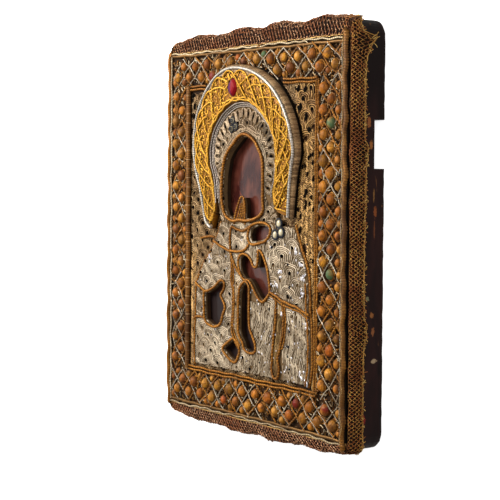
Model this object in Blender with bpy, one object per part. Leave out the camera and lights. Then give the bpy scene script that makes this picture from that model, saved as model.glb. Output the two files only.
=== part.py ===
"""An icon board dressed in an embroidered metal-thread cover, lying on its back.

The front looks up (+Z), the icon's top is +Y, and the origin is on the back face, at the
middle of the outline. Every length below is in millimetres; MM turns it into metres.
"""
import math

import bmesh
import bpy
from mathutils import Vector

MM = 0.001
GAP = 0.3                       # clearance between pieces that rest on each other
CUT_OVERRUN = 5.0               # how far a cutter runs past the faces that it cuts
BURIED = 1.0                    # how far padding reaches down into the cover below it

# Overall outline
WIDTH = 261.0
HEIGHT = 313.0
CORNER_RADIUS = 13.0
TOP_SLANT = -0.02               # the stitched lines along the top edge drop towards the right

# Board
BOARD_INSET = 1.4               # the board lies this far inside the lace
BOARD_THICKNESS = 28.2
BOARD_EDGE_BEVEL = 1.2
BOARD_CORNER_STEPS = 5
GROOVE_DEPTH = 9.5
GROOVE_WIDTH = 35.0
GROOVE_LENGTH = 238.0           # a groove opens at one side and stops short of the other
UPPER_GROOVE_Y = 65.5
LOWER_GROOVE_Y = -76.0
BATTEN_CLEARANCE = 0.4
BATTEN_SETBACK = 1.5            # the batten's end lies this far inside the board's side
BATTEN_CHAMFER = 1.0

# Cover
COVER_TOP = BOARD_THICKNESS + 2.1
COVER_HALF_WIDTH = 127.0
COVER_Y_TOP = 144.3
COVER_Y_BOTTOM = -149.4
COVER_CORNER = 5.0
ROBE_TOP = COVER_TOP + 2.4
ROBE_EDGE_SLOPE = 1.8
STOLE_RISE = 1.0
HOOD_TOP = COVER_TOP + 4.6
HOOD_FOOT_Y = 3.0               # the hood's padding dies away towards this line
HOOD_FULL_Y = 24.0
HOOD_FOOT_LEFT = -38.5
HOOD_FOOT_RIGHT = 43.0
HOOD_MARGIN = 0.9
HOOD_STATIONS = 24
HOOD_MIDDLE = (-2.0, 52.0)
HOOD_RING_SHARES = (1.0, 0.55, 0.18)
TAB_TOP = COVER_TOP + 2.0

# Lace
LACE_HEM_Z = BOARD_THICKNESS - 9.8
LACE_SHOULDER_Z = BOARD_THICKNESS - 1.5
LACE_TOP_Z = COVER_TOP + 1.0
LACE_CORNER = 8.0
LACE_ROLL_Z = COVER_TOP - 0.4   # where the lace turns from the side on to the front
LACE_ROLL_SIDE = 0.6
LACE_ROLL_TOP = 2.2
LACE_ROLL_BOTTOM = 2.0
LACE_BULGE = 2.6                # how far the padded ends stand out past the nominal outline
LACE_CORNER_LOSS = 0.35         # the share of the bulge that is lost towards the corners
LACE_HEM_BULGE = 0.3            # the share of the bulge that reaches the hem
LACE_WAVE = 0.9
LACE_LONG_WAVE = 9.5
LACE_SHORT_WAVE = 4.9
LACE_SHORT_WAVE_SHARE = 0.6
LACE_WAVE_START = 1.2
LACE_BULGE_FROM = 0.38          # the bulge grows between these shares of the height
LACE_BULGE_FULL = 0.48
LACE_END_STEPS = 13
LACE_SIDE_POINTS = (0.25, 0.5, 0.75)

# Frame cords
OUTER_CORD_X = 124.4
OUTER_CORD_Y_TOP = 142.4
OUTER_CORD_Y_BOTTOM = -147.6
OUTER_CORD_HALF_WIDTH = 2.3
OUTER_CORD_HALF_HEIGHT = 1.4
OUTER_CORD_CORNER = 2.6
INNER_CORD_LEFT = -95.5
INNER_CORD_RIGHT = 90.2
INNER_CORD_TOP = 115.2
INNER_CORD_BOTTOM = -117.0
INNER_CORD_HALF_WIDTH = 2.3
INNER_CORD_HALF_HEIGHT = 1.5
INNER_CORD_CORNER = 3.0
INNER_CORD_START_X = -67.0      # the cord starts and ends beside the halo
INNER_CORD_END_X = 46.0

# Beadwork
BEAD_RADIUS = 4.6
BEAD_TOP_RADIUS = 2.5
BEAD_TOP = COVER_TOP + 4.4
BEAD_SIDES = 8
TOP_BEAD_ROWS = (124.4, 133.4)
BOTTOM_BEAD_ROWS = (-137.0, -127.5)
LEFT_BEAD_COLUMNS = (-115.8, -106.6)
RIGHT_BEAD_COLUMNS = (98.5, 107.7, 116.6)
LATTICE_BASE = COVER_TOP + GAP
LATTICE_HOLLOW = LATTICE_BASE + 0.5
LATTICE_RIDGE = LATTICE_BASE + 1.5
ROW_PITCH = 9.2

# Halo
HALO_BASE = COVER_TOP + GAP
HALO_LEDGE = COVER_TOP + 7.2
HALO_INNER_EDGE = COVER_TOP + 7.6
HALO_VALLEY = COVER_TOP + 8.1
HALO_CREST = COVER_TOP + 9.3
HALO_STATIONS = 37
HALO_LEDGE_WIDTH = 3.4
HALO_WALL_CHAMFER = 0.8
HALO_WALL_LEAN = 0.02           # the chamfer's width as a share of the limb
HALO_GOLD_START = 0.03          # the gold starts this share of the limb past the ledge
HALO_GOLD_END = 0.95
HALO_GOLD_ROWS = (0.0, 0.4, 0.8)
HALO_CLEARANCE = 0.8            # free space between the halo and what is cut round it
HALO_END_DROP = 2.4             # the padding is this much lower at the two ends
HALO_END_SHARE = 0.22
HALO_OUTER = [(-51.5, 1), (-60, 6), (-64, 18), (-68, 34), (-74, 50), (-76.5, 70), (-72.5, 92), (-60, 111),
              (-41, 125), (-20, 130), (4, 127.5), (28, 119), (48, 105), (63, 85), (69.5, 63),
              (65.5, 46), (62.5, 30), (60.5, 12)]
HALO_INNER = [(-47, 11.5), (-44, 19), (-44.5, 30), (-46.5, 42), (-51.8, 54), (-51.5, 68), (-47, 80),
              (-36.5, 91), (-23, 99), (-10, 101.6), (4, 101), (18, 96), (31, 86.5), (41, 75), (45.5, 60),
              (43.5, 44), (40, 28), (43, 16.5)]

# Stones
HALO_STONE = (-14.5, 113.0)
HALO_STONE_RADIUS = 6.4
HALO_STONE_TOP = COVER_TOP + 11.6
HALO_SEAT = COVER_TOP + 7.0
HALO_SEAT_CLEARANCE = 0.5
SHOULDER_STONE_LIFT = 0.2
SHOULDER_STONE_RADIUS = 2.8
HOOD_STONE_RADIUS = 2.2
SMALL_STONE_HEIGHT = 2.4
SHOULDER_STONES = {"shoulder_stone_left": (39.5, -1.5), "shoulder_stone_right": (47.5, 0.5),
                   "shoulder_stone_upper": (44.5, 7.2)}
HOOD_STONES = {"hood_stone_left": (-21.1, 80.9), "hood_stone_upper": (-19.6, 87.4),
               "hood_stone_right": (-15.0, 82.4)}

# Cord sizes: half width across the cord
FIGURE_CORD = 1.25
FACE_CORD = 1.5
SILVER_CORD = 1.0
HAND_OPENING_INSET = 2.2
FACE_CORD_LIFT = 0.15
EDGE_CORD_INSET = 1.6           # from the halo's outer edge to the silver cord
FOOT_CORD_INSET = 2.4
FOOT_CORD_LIFT = 0.2
FOOT_CORD_STATIONS = 25
FOOT_CORD_TRIM = 3              # stations left out at each end
CROSSING_LIFT = 0.05            # small steps in height and width keep crossing cords apart
CROSSING_LIFT_STEP = 0.04
CROSSING_WIDTH_STEP = 0.02

# Steps along the smooth routes
ROBE_STEP = 12.0
CORD_STEP = 10.0
RIM_STEP = 9.0

# Angles, in degrees, under which an edge is shaded smooth
CORD_SMOOTH = 70
LACE_SMOOTH = 50
HALO_SMOOTH = 35

# Routes of the couched cords, from the edge of the robe inwards
ROBE_LEFT = [(-42.5, 7), (-46, -1), (-52.5, -8.5), (-58.5, -17.5), (-68, -25.5), (-76.5, -36),
             (-80.5, -42), (-82, -50), (-83, -66), (-83.8, -82), (-84.2, -98), (-84.5, -113)]
ROBE_RIGHT = [(63.5, 6), (66.5, 0), (71, -9.5), (75, -16), (79.5, -24), (82, -36), (83, -49.5),
              (84.5, -65), (86, -81), (86, -95), (84.5, -105), (82, -113)]
COLLAR = [(-52.5, -8.5), (-42, -12), (-32, -15), (-24, -16.5), (-13, -16.2), (-5, -15), (2, -10)]
NECK = [(-25, -16.5), (-26, -4), (-23.5, 2.7), (-16, 1.3), (-8, 0.3), (2, 3.5)]
STOLE = [(-25.5, -16.5), (-23, -24), (-23.5, -39), (-20.5, -50), (-21.2, -63), (-22.5, -79),
         (-18.5, -86), (-12, -93)]
STOLE_PADDING = [(-21.3, -41), (-18.5, -51), (-19.2, -63), (-20.3, -77), (-15.2, -79), (-15.0, -63),
                 (-14.6, -52), (-13.0, -45)]
ARM = [(-24.3, -19), (-17.8, -28.5), (-10.3, -34.3)]
LAPEL = [(32, -45.5), (40, -47.5), (49, -51), (60, -53.5), (70, -55), (84, -59.5)]
RIBBON = [(41, -48), (40.2, -65), (37.8, -80), (36, -95), (35.2, -104), (38, -110.5), (43.5, -110),
          (45, -103), (43.5, -96), (47, -87), (50.5, -76), (51, -63), (49.5, -51.5)]
CUFF_UPPER = [(-81, -44), (-72, -48), (-65, -51)]
CUFF_LOWER = [(-83.3, -75.5), (-78, -72.5), (-65, -73)]

# Closed rims of the openings
FACE_RIM = [(-1, 76), (-10, 74.5), (-18, 69), (-25, 64), (-31, 57), (-34.5, 45), (-35.5, 30),
            (-34.5, 18), (-30, 11), (-21, 7.8), (-10.5, 8.8), (1, 8.4), (15.5, 11.2), (24, 16.5),
            (24.8, 25), (25, 40), (24, 55), (19, 63.5), (11, 71.5)]
HAND_RIM = [(0.5, -2.5), (4.5, 4.2), (16, 7.2), (26, 6.8), (32, 4.0), (31.5, -1.5), (25.5, -6.7),
            (16, -8.9), (8, -10), (2.5, -8.5)]
SLEEVE_RIM = [(-13, -22), (-8, -18), (-0.5, -18.7), (5, -22), (9, -27), (13.5, -27), (15, -21),
              (15.5, -14.5), (20, -15.5), (24.5, -21), (28, -27), (30.3, -35), (32, -45.5), (27, -51),
              (21.5, -54), (16.5, -52), (11, -47), (6.5, -42), (2, -38.5), (-5, -38), (-10, -34),
              (-12.8, -28)]
SLIT_RIM = [(-9.5, -43), (-12.5, -50), (-13, -63), (-13, -78), (-10.5, -84), (-6.5, -88), (-4, -93),
            (1.5, -95), (8, -95.2), (12, -93), (12, -88), (8, -81.5), (3.8, -75.5), (2.6, -65),
            (2.6, -54), (2.2, -43), (-3, -39.5)]
BOOK_RIM = [(-66, -52), (-58.5, -50), (-49, -46), (-41, -41), (-35, -41.5), (-34.8, -47), (-39.5, -52.5),
            (-36, -56.8), (-33, -62), (-36.5, -68.5), (-39.5, -75), (-45, -78.3), (-54.5, -78.8),
            (-64.5, -74.5), (-66, -63)]
LOZENGE_RIM = [(-36.5, -95.7), (-28, -89.5), (-20, -86), (-13.5, -90), (-11, -95), (-13.5, -101),
               (-18.5, -105), (-28, -102)]
FACE_TAB = [(-20, 5.5), (-17, 14), (-12, 21.5), (-9.5, 26.2), (-6, 26.4), (-4.2, 21), (-3.8, 5.5)]


def remove_scene_objects():
    """Start from an empty scene."""
    for obj in list(bpy.data.objects):
        bpy.data.objects.remove(obj, do_unlink=True)


def make_material(name, color, roughness, metallic=0.0):
    """Return a Principled material of one plain colour."""
    material = bpy.data.materials.new(name)
    material.use_nodes = True
    shader = material.node_tree.nodes["Principled BSDF"]
    shader.inputs["Base Color"].default_value = (*color, 1.0)
    shader.inputs["Roughness"].default_value = roughness
    shader.inputs["Metallic"].default_value = metallic
    return material


def make_object(name, vertices, faces, material, smooth_angle=None):
    """Return an object from vertices in millimetres, with its faces turned outwards."""
    mesh = bpy.data.meshes.new(name)
    mesh.from_pydata([Vector(v) * MM for v in vertices], [], faces)
    builder = bmesh.new()
    builder.from_mesh(mesh)
    bmesh.ops.recalc_face_normals(builder, faces=builder.faces)
    builder.to_mesh(mesh)
    builder.free()
    if smooth_angle is not None:
        mesh.shade_smooth()
        mesh.set_sharp_from_angle(angle=math.radians(smooth_angle))
    mesh.materials.append(material)
    obj = bpy.data.objects.new(name, mesh)
    bpy.context.scene.collection.objects.link(obj)
    return obj


def make_guide(obj):
    """Turn an object into a boolean operand that isn't part of the model."""
    obj.hide_render = True
    obj.display_type = "WIRE"
    return obj


def combine(obj, operand, operation):
    """Add an exact boolean of one operand to an object."""
    modifier = obj.modifiers.new(operand.name, "BOOLEAN")
    modifier.operation = operation
    modifier.solver = "EXACT"
    modifier.object = make_guide(operand)


def combine_all(obj, operands, operation):
    """Add one exact boolean that takes a whole collection of operands."""
    group = bpy.data.collections.new(obj.name + "_" + operation.lower())
    bpy.context.scene.collection.children.link(group)
    for operand in operands:
        bpy.context.scene.collection.objects.unlink(make_guide(operand))
        group.objects.link(operand)
    modifier = obj.modifiers.new(group.name, "BOOLEAN")
    modifier.operation = operation
    modifier.solver = "EXACT"
    modifier.operand_type = "COLLECTION"
    modifier.collection = group


def smooth_step(low, high, value):
    """Return 0 below low, 1 above high and an eased value between."""
    t = min(max((value - low) / (high - low), 0.0), 1.0)
    return t * t * (3.0 - 2.0 * t)


def spline_point(a, b, c, d, t):
    """Return the Catmull-Rom point between b and c."""
    return tuple(0.5 * (2.0 * q + (r - p) * t + (2.0 * p - 5.0 * q + 4.0 * r - s) * t * t
                        + (3.0 * q - p - 3.0 * r + s) * t ** 3)
                 for p, q, r, s in zip(a, b, c, d))


def smooth_route(points, spacing, closed=False):
    """Return a route through the points, with steps no longer than about the spacing."""
    count = len(points)
    route = []
    for i in range(count if closed else count - 1):
        ends = [points[(i + k) % count] if closed else points[min(max(i + k, 0), count - 1)]
                for k in (-1, 0, 1, 2)]
        steps = max(1, round(math.dist(ends[1], ends[2]) / spacing))
        route += [spline_point(*ends, k / steps) for k in range(steps)]
    if not closed:
        route.append(tuple(float(value) for value in points[-1]))
    return route


def even_route(points, count):
    """Return a smooth route through the points as a given number of evenly spaced stations."""
    dense = smooth_route(points, 1.0)
    lengths = [0.0]
    for a, b in zip(dense, dense[1:]):
        lengths.append(lengths[-1] + math.dist(a, b))
    stations = []
    k = 0
    for i in range(count):
        target = lengths[-1] * i / (count - 1)
        while k < len(dense) - 2 and lengths[k + 1] < target:
            k += 1
        t = (target - lengths[k]) / (lengths[k + 1] - lengths[k])
        stations.append(tuple(p + (q - p) * t for p, q in zip(dense[k], dense[k + 1])))
    return stations


def signed_area(outline):
    """Return the area of a closed outline, positive when it runs anticlockwise."""
    return 0.5 * sum(a[0] * b[1] - b[0] * a[1] for a, b in zip(outline, outline[1:] + outline[:1]))


def inset(outline, distance):
    """Return a closed outline moved inwards by a distance."""
    turn = 1.0 if signed_area(outline) > 0.0 else -1.0
    moved = []
    for i, point in enumerate(outline):
        before = Vector(outline[i - 1][:2])
        after = Vector(outline[(i + 1) % len(outline)][:2])
        along = (after - before).normalized()
        moved.append((point[0] - along.y * distance * turn, point[1] + along.x * distance * turn))
    return moved


def rounded_rectangle(half_width, y_top, y_bottom, radius, corner_steps=4, side_points=(), end_points=()):
    """Return a rounded rectangle, anticlockwise from the lower end of its right side.

    side_points and end_points are fractions along the long sides and the ends.
    """
    corners = [(half_width, y_top, 0.0), (-half_width, y_top, 90.0),
               (-half_width, y_bottom, 180.0), (half_width, y_bottom, 270.0)]
    outline = []
    for i, (x, y, start) in enumerate(corners):
        centre = (x - math.copysign(radius, x), y - math.copysign(radius, y))
        for k in range(corner_steps + 1):
            angle = math.radians(start + 90.0 * k / corner_steps)
            outline.append((centre[0] + radius * math.cos(angle), centre[1] + radius * math.sin(angle)))
        following = corners[(i + 1) % 4]
        angle = math.radians(start + 90.0)
        target = (following[0] - math.copysign(radius, following[0]) + radius * math.cos(angle),
                  following[1] - math.copysign(radius, following[1]) + radius * math.sin(angle))
        last = outline[-1]
        for t in (end_points if i % 2 == 0 else side_points):
            outline.append((last[0] + (target[0] - last[0]) * t, last[1] + (target[1] - last[1]) * t))
    return outline


def bridge(rings, closed=False):
    """Return vertices and quads that join rings of equal length, with flat ends unless closed."""
    count = len(rings[0])
    vertices = [point for ring in rings for point in ring]
    faces = []
    for r in range(len(rings) if closed else len(rings) - 1):
        following = (r + 1) % len(rings)
        for i in range(count):
            j = (i + 1) % count
            faces.append((r * count + i, r * count + j, following * count + j, following * count + i))
    if not closed:
        faces.append(tuple(reversed(range(count))))
        faces.append(tuple(range((len(rings) - 1) * count, len(rings) * count)))
    return vertices, faces


def slanted(points):
    """Return points with those of the icon's top edge moved on to its slanting line."""
    return [(x, y + TOP_SLANT * x * smooth_step(90.0, 115.0, y), *rest) for x, y, *rest in points]


def at_height(outline, z):
    """Return an outline as points at one height."""
    return [(x, y, z) for x, y in outline]


def make_prism(name, outline, z_low, z_high, material):
    """Return an upright solid over an outline."""
    return make_object(name, *bridge([at_height(outline, z_low), at_height(outline, z_high)]), material)


def make_cord(name, route, half_width, half_height, material, closed=False, sides=6):
    """Return a cord of oval section that follows a route of (x, y, z) points."""
    rings = []
    count = len(route)
    for i, point in enumerate(route):
        before = Vector(route[i - 1] if closed or i > 0 else point)
        after = Vector(route[(i + 1) % count] if closed or i < count - 1 else point)
        along = (after - before).normalized()
        across = Vector((along.y, -along.x, 0.0)).normalized()
        raised = across.cross(along)
        ring = []
        for k in range(sides):
            angle = 2.0 * math.pi * k / sides
            offset = across * math.cos(angle) * half_width + raised * math.sin(angle) * half_height
            ring.append(tuple(Vector(point) + offset))
        rings.append(ring)
    return make_object(name, *bridge(rings, closed), material, CORD_SMOOTH)


def relief_height(x, y):
    """Return the height of the padded figure's top face at a point."""
    if y <= HOOD_FOOT_Y:
        return ROBE_TOP
    return ROBE_TOP + (HOOD_TOP - ROBE_TOP) * smooth_step(HOOD_FOOT_Y, HOOD_FULL_Y, y)


def laid_route(points, half_width, spacing, closed=False, lift=0.0):
    """Return a route that lies on the figure's relief, clear of it by the gap."""
    rise = GAP + half_width * math.cos(math.pi / 6.0) + lift
    return [(x, y, max(relief_height(x, y - half_width), relief_height(x, y + half_width)) + rise)
            for x, y in smooth_route(points, spacing, closed)]


def build_board(material):
    """The wooden panel, with a batten groove from each side in its back."""
    half_width = WIDTH / 2.0 - BOARD_INSET
    half_height = HEIGHT / 2.0 - BOARD_INSET
    outer = rounded_rectangle(half_width, half_height, -half_height, CORNER_RADIUS, BOARD_CORNER_STEPS)
    upper = rounded_rectangle(half_width - BOARD_EDGE_BEVEL, half_height - BOARD_EDGE_BEVEL,
                              BOARD_EDGE_BEVEL - half_height, CORNER_RADIUS - BOARD_EDGE_BEVEL,
                              BOARD_CORNER_STEPS)
    rings = [at_height(outer, 0.0), at_height(outer, BOARD_THICKNESS - BOARD_EDGE_BEVEL),
             at_height(upper, BOARD_THICKNESS)]
    board = make_object("icon_board", *bridge(rings), material)
    for name, y, side in (("upper_groove", UPPER_GROOVE_Y, 1.0), ("lower_groove", LOWER_GROOVE_Y, -1.0)):
        mouth = side * (half_width + CUT_OVERRUN)
        end = side * (half_width - GROOVE_LENGTH)
        half = GROOVE_WIDTH / 2.0
        outline = [(mouth, y - half), (mouth, y + half), (end, y + half), (end, y - half)]
        combine(board, make_prism(name, outline, -CUT_OVERRUN, GROOVE_DEPTH, material), "DIFFERENCE")
    return board


def build_lower_batten(material):
    """The batten that fills the lower groove, flush with the back."""
    half_width = WIDTH / 2.0 - BOARD_INSET
    left = BATTEN_SETBACK - half_width
    right = GROOVE_LENGTH - half_width - BATTEN_CLEARANCE
    half = GROOVE_WIDTH / 2.0 - BATTEN_CLEARANCE
    low = LOWER_GROOVE_Y - half
    high = LOWER_GROOVE_Y + half
    outline = [(left, low), (right, low), (right, high), (left, high)]
    cut = BATTEN_CHAMFER
    chamfered = [(left + cut, low + cut), (right - cut, low + cut), (right - cut, high - cut),
                 (left + cut, high - cut)]
    rings = [at_height(chamfered, 0.0), at_height(outline, cut),
             at_height(outline, GROOVE_DEPTH - BATTEN_CLEARANCE)]
    return make_object("lower_batten", *bridge(rings), material)


def robe_outline():
    """Return the outline of the padded robe, from its hem up one side and down the other."""
    left = smooth_route(ROBE_LEFT, ROBE_STEP)
    right = smooth_route(ROBE_RIGHT, ROBE_STEP)
    return left[::-1] + right


def build_hood(material):
    """The padding inside the halo, which dies away towards the shoulders."""
    outline = inset(even_route(HALO_INNER, HOOD_STATIONS), HOOD_MARGIN)
    outline = [(HOOD_FOOT_LEFT, HOOD_FOOT_Y)] + outline[1:-1] + [(HOOD_FOOT_RIGHT, HOOD_FOOT_Y)]
    rings = []
    for share in HOOD_RING_SHARES:
        ring = []
        for x, y in outline:
            px = HOOD_MIDDLE[0] + (x - HOOD_MIDDLE[0]) * share
            py = HOOD_MIDDLE[1] + (y - HOOD_MIDDLE[1]) * share
            ring.append((px, py, max(relief_height(px, py), COVER_TOP)))
        rings.append(ring)
    base = at_height(outline, COVER_TOP - BURIED)
    return make_object("hood", *bridge([base] + rings), material)


def build_cover(material, halo_clearance):
    """The stiffened cover with its padded figure and the openings cut through it."""
    base = slanted(rounded_rectangle(COVER_HALF_WIDTH, COVER_Y_TOP, COVER_Y_BOTTOM, COVER_CORNER))
    cover = make_prism("embroidered_cover", base, BOARD_THICKNESS + GAP, COVER_TOP, material)
    robe = robe_outline()
    rings = [at_height(robe, COVER_TOP - BURIED), at_height(robe, COVER_TOP),
             at_height(inset(robe, ROBE_EDGE_SLOPE), ROBE_TOP)]
    padding = [make_object("robe", *bridge(rings), material), build_hood(material)]
    for piece in padding:
        combine(piece, halo_clearance, "DIFFERENCE")
    padding.append(make_prism("stole_padding", STOLE_PADDING, COVER_TOP, ROBE_TOP + STOLE_RISE, material))
    combine_all(cover, padding, "UNION")
    cutters = []
    rims = {"face_opening": (FACE_RIM, FACE_CORD), "hand_opening": (HAND_RIM, HAND_OPENING_INSET),
            "sleeve_opening": (SLEEVE_RIM, FIGURE_CORD), "slit_opening": (SLIT_RIM, FIGURE_CORD),
            "book_opening": (BOOK_RIM, FIGURE_CORD), "lozenge_opening": (LOZENGE_RIM, FIGURE_CORD)}
    for name, (rim, edge) in rims.items():
        outline = inset(smooth_route(rim, RIM_STEP, closed=True), edge)
        cutters.append(make_prism(name, outline, BOARD_THICKNESS - CUT_OVERRUN, HALO_CREST + CUT_OVERRUN,
                                  material))
    combine_all(cover, cutters, "DIFFERENCE")
    tab = make_prism("face_tab", FACE_TAB, BOARD_THICKNESS + GAP, TAB_TOP, material)
    combine(cover, tab, "UNION")
    return cover


def lace_bulge(x, y):
    """Return how far the lace stands out past its nominal outline along the ends."""
    middle = 1.0 - LACE_CORNER_LOSS * (2.0 * x / WIDTH) ** 2
    wave = math.sin(x / LACE_LONG_WAVE + LACE_WAVE_START)
    wave += LACE_SHORT_WAVE_SHARE * math.sin(x / LACE_SHORT_WAVE)
    share = smooth_step(LACE_BULGE_FROM, LACE_BULGE_FULL, abs(y) / HEIGHT)
    return (LACE_BULGE * middle + LACE_WAVE * wave) * share


def build_lace(material):
    """The lace that wraps from the cover's edge over the board's shoulder on to its sides."""
    def ring(half_width, y_top, y_bottom, radius, z, bulge=0.0):
        ends = [k / LACE_END_STEPS for k in range(1, LACE_END_STEPS)]
        outline = rounded_rectangle(half_width, y_top, y_bottom, radius, side_points=LACE_SIDE_POINTS,
                                    end_points=ends)
        return [(x, y + math.copysign(bulge * lace_bulge(x, y), y), z) for x, y in outline]

    half_width = WIDTH / 2.0
    half_height = HEIGHT / 2.0
    inner_x = COVER_HALF_WIDTH + GAP
    inner_top = COVER_Y_TOP + GAP
    inner_bottom = COVER_Y_BOTTOM - GAP
    wall_x = half_width - BOARD_INSET + GAP
    wall_y = half_height - BOARD_INSET + GAP
    seat = BOARD_THICKNESS + GAP
    rings = [ring(half_width, half_height, -half_height, CORNER_RADIUS, LACE_HEM_Z, LACE_HEM_BULGE),
             ring(half_width, half_height, -half_height, LACE_CORNER, LACE_SHOULDER_Z, 1.0),
             ring(half_width - LACE_ROLL_SIDE, half_height - LACE_ROLL_TOP, LACE_ROLL_BOTTOM - half_height,
                  LACE_CORNER, LACE_ROLL_Z, 1.0),
             slanted(ring(inner_x, inner_top, inner_bottom, COVER_CORNER, LACE_TOP_Z)),
             slanted(ring(inner_x, inner_top, inner_bottom, COVER_CORNER, seat)),
             ring(wall_x, wall_y, -wall_y, CORNER_RADIUS + GAP, seat),
             ring(wall_x, wall_y, -wall_y, CORNER_RADIUS + GAP, LACE_HEM_Z)]
    return make_object("lace_galloon", *bridge(rings, closed=True), material, LACE_SMOOTH)


def build_outer_cord(material):
    """The thick cord round the outer edge of the border."""
    outline = rounded_rectangle(OUTER_CORD_X, OUTER_CORD_Y_TOP, OUTER_CORD_Y_BOTTOM, OUTER_CORD_CORNER)
    route = slanted(at_height(outline, COVER_TOP + GAP + OUTER_CORD_HALF_HEIGHT))
    return make_cord("outer_frame_cord", route, OUTER_CORD_HALF_WIDTH, OUTER_CORD_HALF_HEIGHT, material,
                     closed=True, sides=8)


def build_inner_cord(material):
    """The cord round the middle field, open where the halo covers it."""
    corner = INNER_CORD_CORNER
    points = [(INNER_CORD_START_X, INNER_CORD_TOP), (INNER_CORD_LEFT + corner, INNER_CORD_TOP),
              (INNER_CORD_LEFT, INNER_CORD_TOP - corner), (INNER_CORD_LEFT, 0.0),
              (INNER_CORD_LEFT, INNER_CORD_BOTTOM + corner),
              (INNER_CORD_LEFT + corner, INNER_CORD_BOTTOM), (0.0, INNER_CORD_BOTTOM),
              (INNER_CORD_RIGHT - corner, INNER_CORD_BOTTOM),
              (INNER_CORD_RIGHT, INNER_CORD_BOTTOM + corner), (INNER_CORD_RIGHT, 0.0),
              (INNER_CORD_RIGHT, INNER_CORD_TOP - corner),
              (INNER_CORD_RIGHT - corner, INNER_CORD_TOP), (INNER_CORD_END_X, INNER_CORD_TOP)]
    route = slanted(at_height(points, COVER_TOP + GAP + INNER_CORD_HALF_HEIGHT))
    return make_cord("inner_frame_cord", route, INNER_CORD_HALF_WIDTH, INNER_CORD_HALF_HEIGHT, material,
                     sides=8)


def lattice_band(name, columns, rows, material):
    """One strip of the border: diamonds of couched thread with a bead in each.

    columns and rows are the positions of the lattice; crossings and beads alternate on them,
    and the outermost lines are the strip's edges, which carry no bead.
    """
    vertices = []
    faces = []
    index = {}

    def corner(i, j, z):
        key = (i, j, z)
        if key not in index:
            index[key] = len(vertices)
            vertices.append((columns[i], rows[j], z))
        return index[key]

    def has_bead(i, j):
        return 0 < i < len(columns) - 1 and 0 < j < len(rows) - 1

    bead_rings = {}

    def bead(i, j):
        if (i, j) not in bead_rings:
            foot = []
            cap = []
            for k in range(BEAD_SIDES):
                angle = 2.0 * math.pi * k / BEAD_SIDES
                c = math.cos(angle)
                s = math.sin(angle)
                foot.append(len(vertices))
                vertices.append((columns[i] + BEAD_RADIUS * c, rows[j] + BEAD_RADIUS * s, LATTICE_HOLLOW))
                if k % 2 == 0:
                    cap.append(len(vertices))
                    vertices.append((columns[i] + BEAD_TOP_RADIUS * c, rows[j] + BEAD_TOP_RADIUS * s,
                                     BEAD_TOP))
            for k in range(4):
                a, b, c = foot[2 * k], foot[2 * k + 1], foot[(2 * k + 2) % BEAD_SIDES]
                p, q = cap[k], cap[(k + 1) % 4]
                faces.extend([(a, b, p), (b, q, p), (b, c, q)])
            faces.append(tuple(cap))
            bead_rings[(i, j)] = foot
        return bead_rings[(i, j)]

    for i in range(len(columns) - 1):
        for j in range(len(rows) - 1):
            for ci, cj, quarter in ((i, j, 0), (i + 1, j, 1), (i + 1, j + 1, 2), (i, j + 1, 3)):
                if (ci + cj) % 2:
                    continue
                other_i = i + 1 if ci == i else i
                other_j = j + 1 if cj == j else j
                ends = ((other_i, cj), (ci, other_j)) if quarter in (0, 2) else ((ci, other_j), (other_i, cj))
                first = corner(*ends[0], LATTICE_RIDGE)
                second = corner(*ends[1], LATTICE_RIDGE)
                if has_bead(ci, cj):
                    ring = bead(ci, cj)
                    a, b, c = ring[2 * quarter], ring[2 * quarter + 1], ring[(2 * quarter + 2) % BEAD_SIDES]
                    faces.extend([(a, first, b), (first, second, b), (b, second, c)])
                else:
                    faces.append((corner(ci, cj, LATTICE_HOLLOW), first, second))

    edge = [(i, 0) for i in range(len(columns) - 1)] + [(len(columns) - 1, j) for j in range(len(rows) - 1)]
    edge += [(i, len(rows) - 1) for i in range(len(columns) - 1, 0, -1)]
    edge += [(0, j) for j in range(len(rows) - 1, 0, -1)]
    base = []
    top = []
    for i, j in edge:
        top.append(corner(i, j, LATTICE_RIDGE if (i + j) % 2 else LATTICE_HOLLOW))
        base.append(corner(i, j, LATTICE_BASE))
    for k in range(len(edge)):
        n = (k + 1) % len(edge)
        faces.append((base[k], base[n], top[n], top[k]))
    faces.append(tuple(reversed(base)))
    return make_object(name, slanted(vertices), faces, material)


def spread(low, high, pitch):
    """Return evenly spaced positions from low to high, at about the pitch."""
    steps = round((high - low) / pitch)
    return [low + (high - low) * k / steps for k in range(steps + 1)]


def build_beadwork(material, halo_clearance):
    """The four strips of beadwork between the two frame cords."""
    outer_x = OUTER_CORD_X - OUTER_CORD_HALF_WIDTH - GAP
    outer_top = OUTER_CORD_Y_TOP - OUTER_CORD_HALF_WIDTH - GAP
    outer_bottom = OUTER_CORD_Y_BOTTOM + OUTER_CORD_HALF_WIDTH + GAP
    clear = INNER_CORD_HALF_WIDTH + GAP
    top_row = INNER_CORD_TOP + clear
    bottom_row = INNER_CORD_BOTTOM - clear
    ends = spread(-outer_x, outer_x, ROW_PITCH)
    sides = spread(bottom_row + GAP, top_row - GAP, ROW_PITCH)
    left_column = INNER_CORD_LEFT - clear
    right_column = INNER_CORD_RIGHT + clear
    top = lattice_band("beadwork_top", ends, [top_row, *TOP_BEAD_ROWS, outer_top], material)
    lattice_band("beadwork_bottom", ends, [outer_bottom, *BOTTOM_BEAD_ROWS, bottom_row], material)
    lattice_band("beadwork_left", [-outer_x, *LEFT_BEAD_COLUMNS, left_column], sides, material)
    lattice_band("beadwork_right", [right_column, *RIGHT_BEAD_COLUMNS, outer_x], sides, material)
    combine(top, halo_clearance, "DIFFERENCE")


def halo_loop(grow=0.0):
    """Return the halo's whole outline, grown outwards by a distance."""
    outline = even_route(HALO_OUTER, HALO_STATIONS) + even_route(HALO_INNER, HALO_STATIONS)[::-1]
    return inset(outline, -grow)


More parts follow.
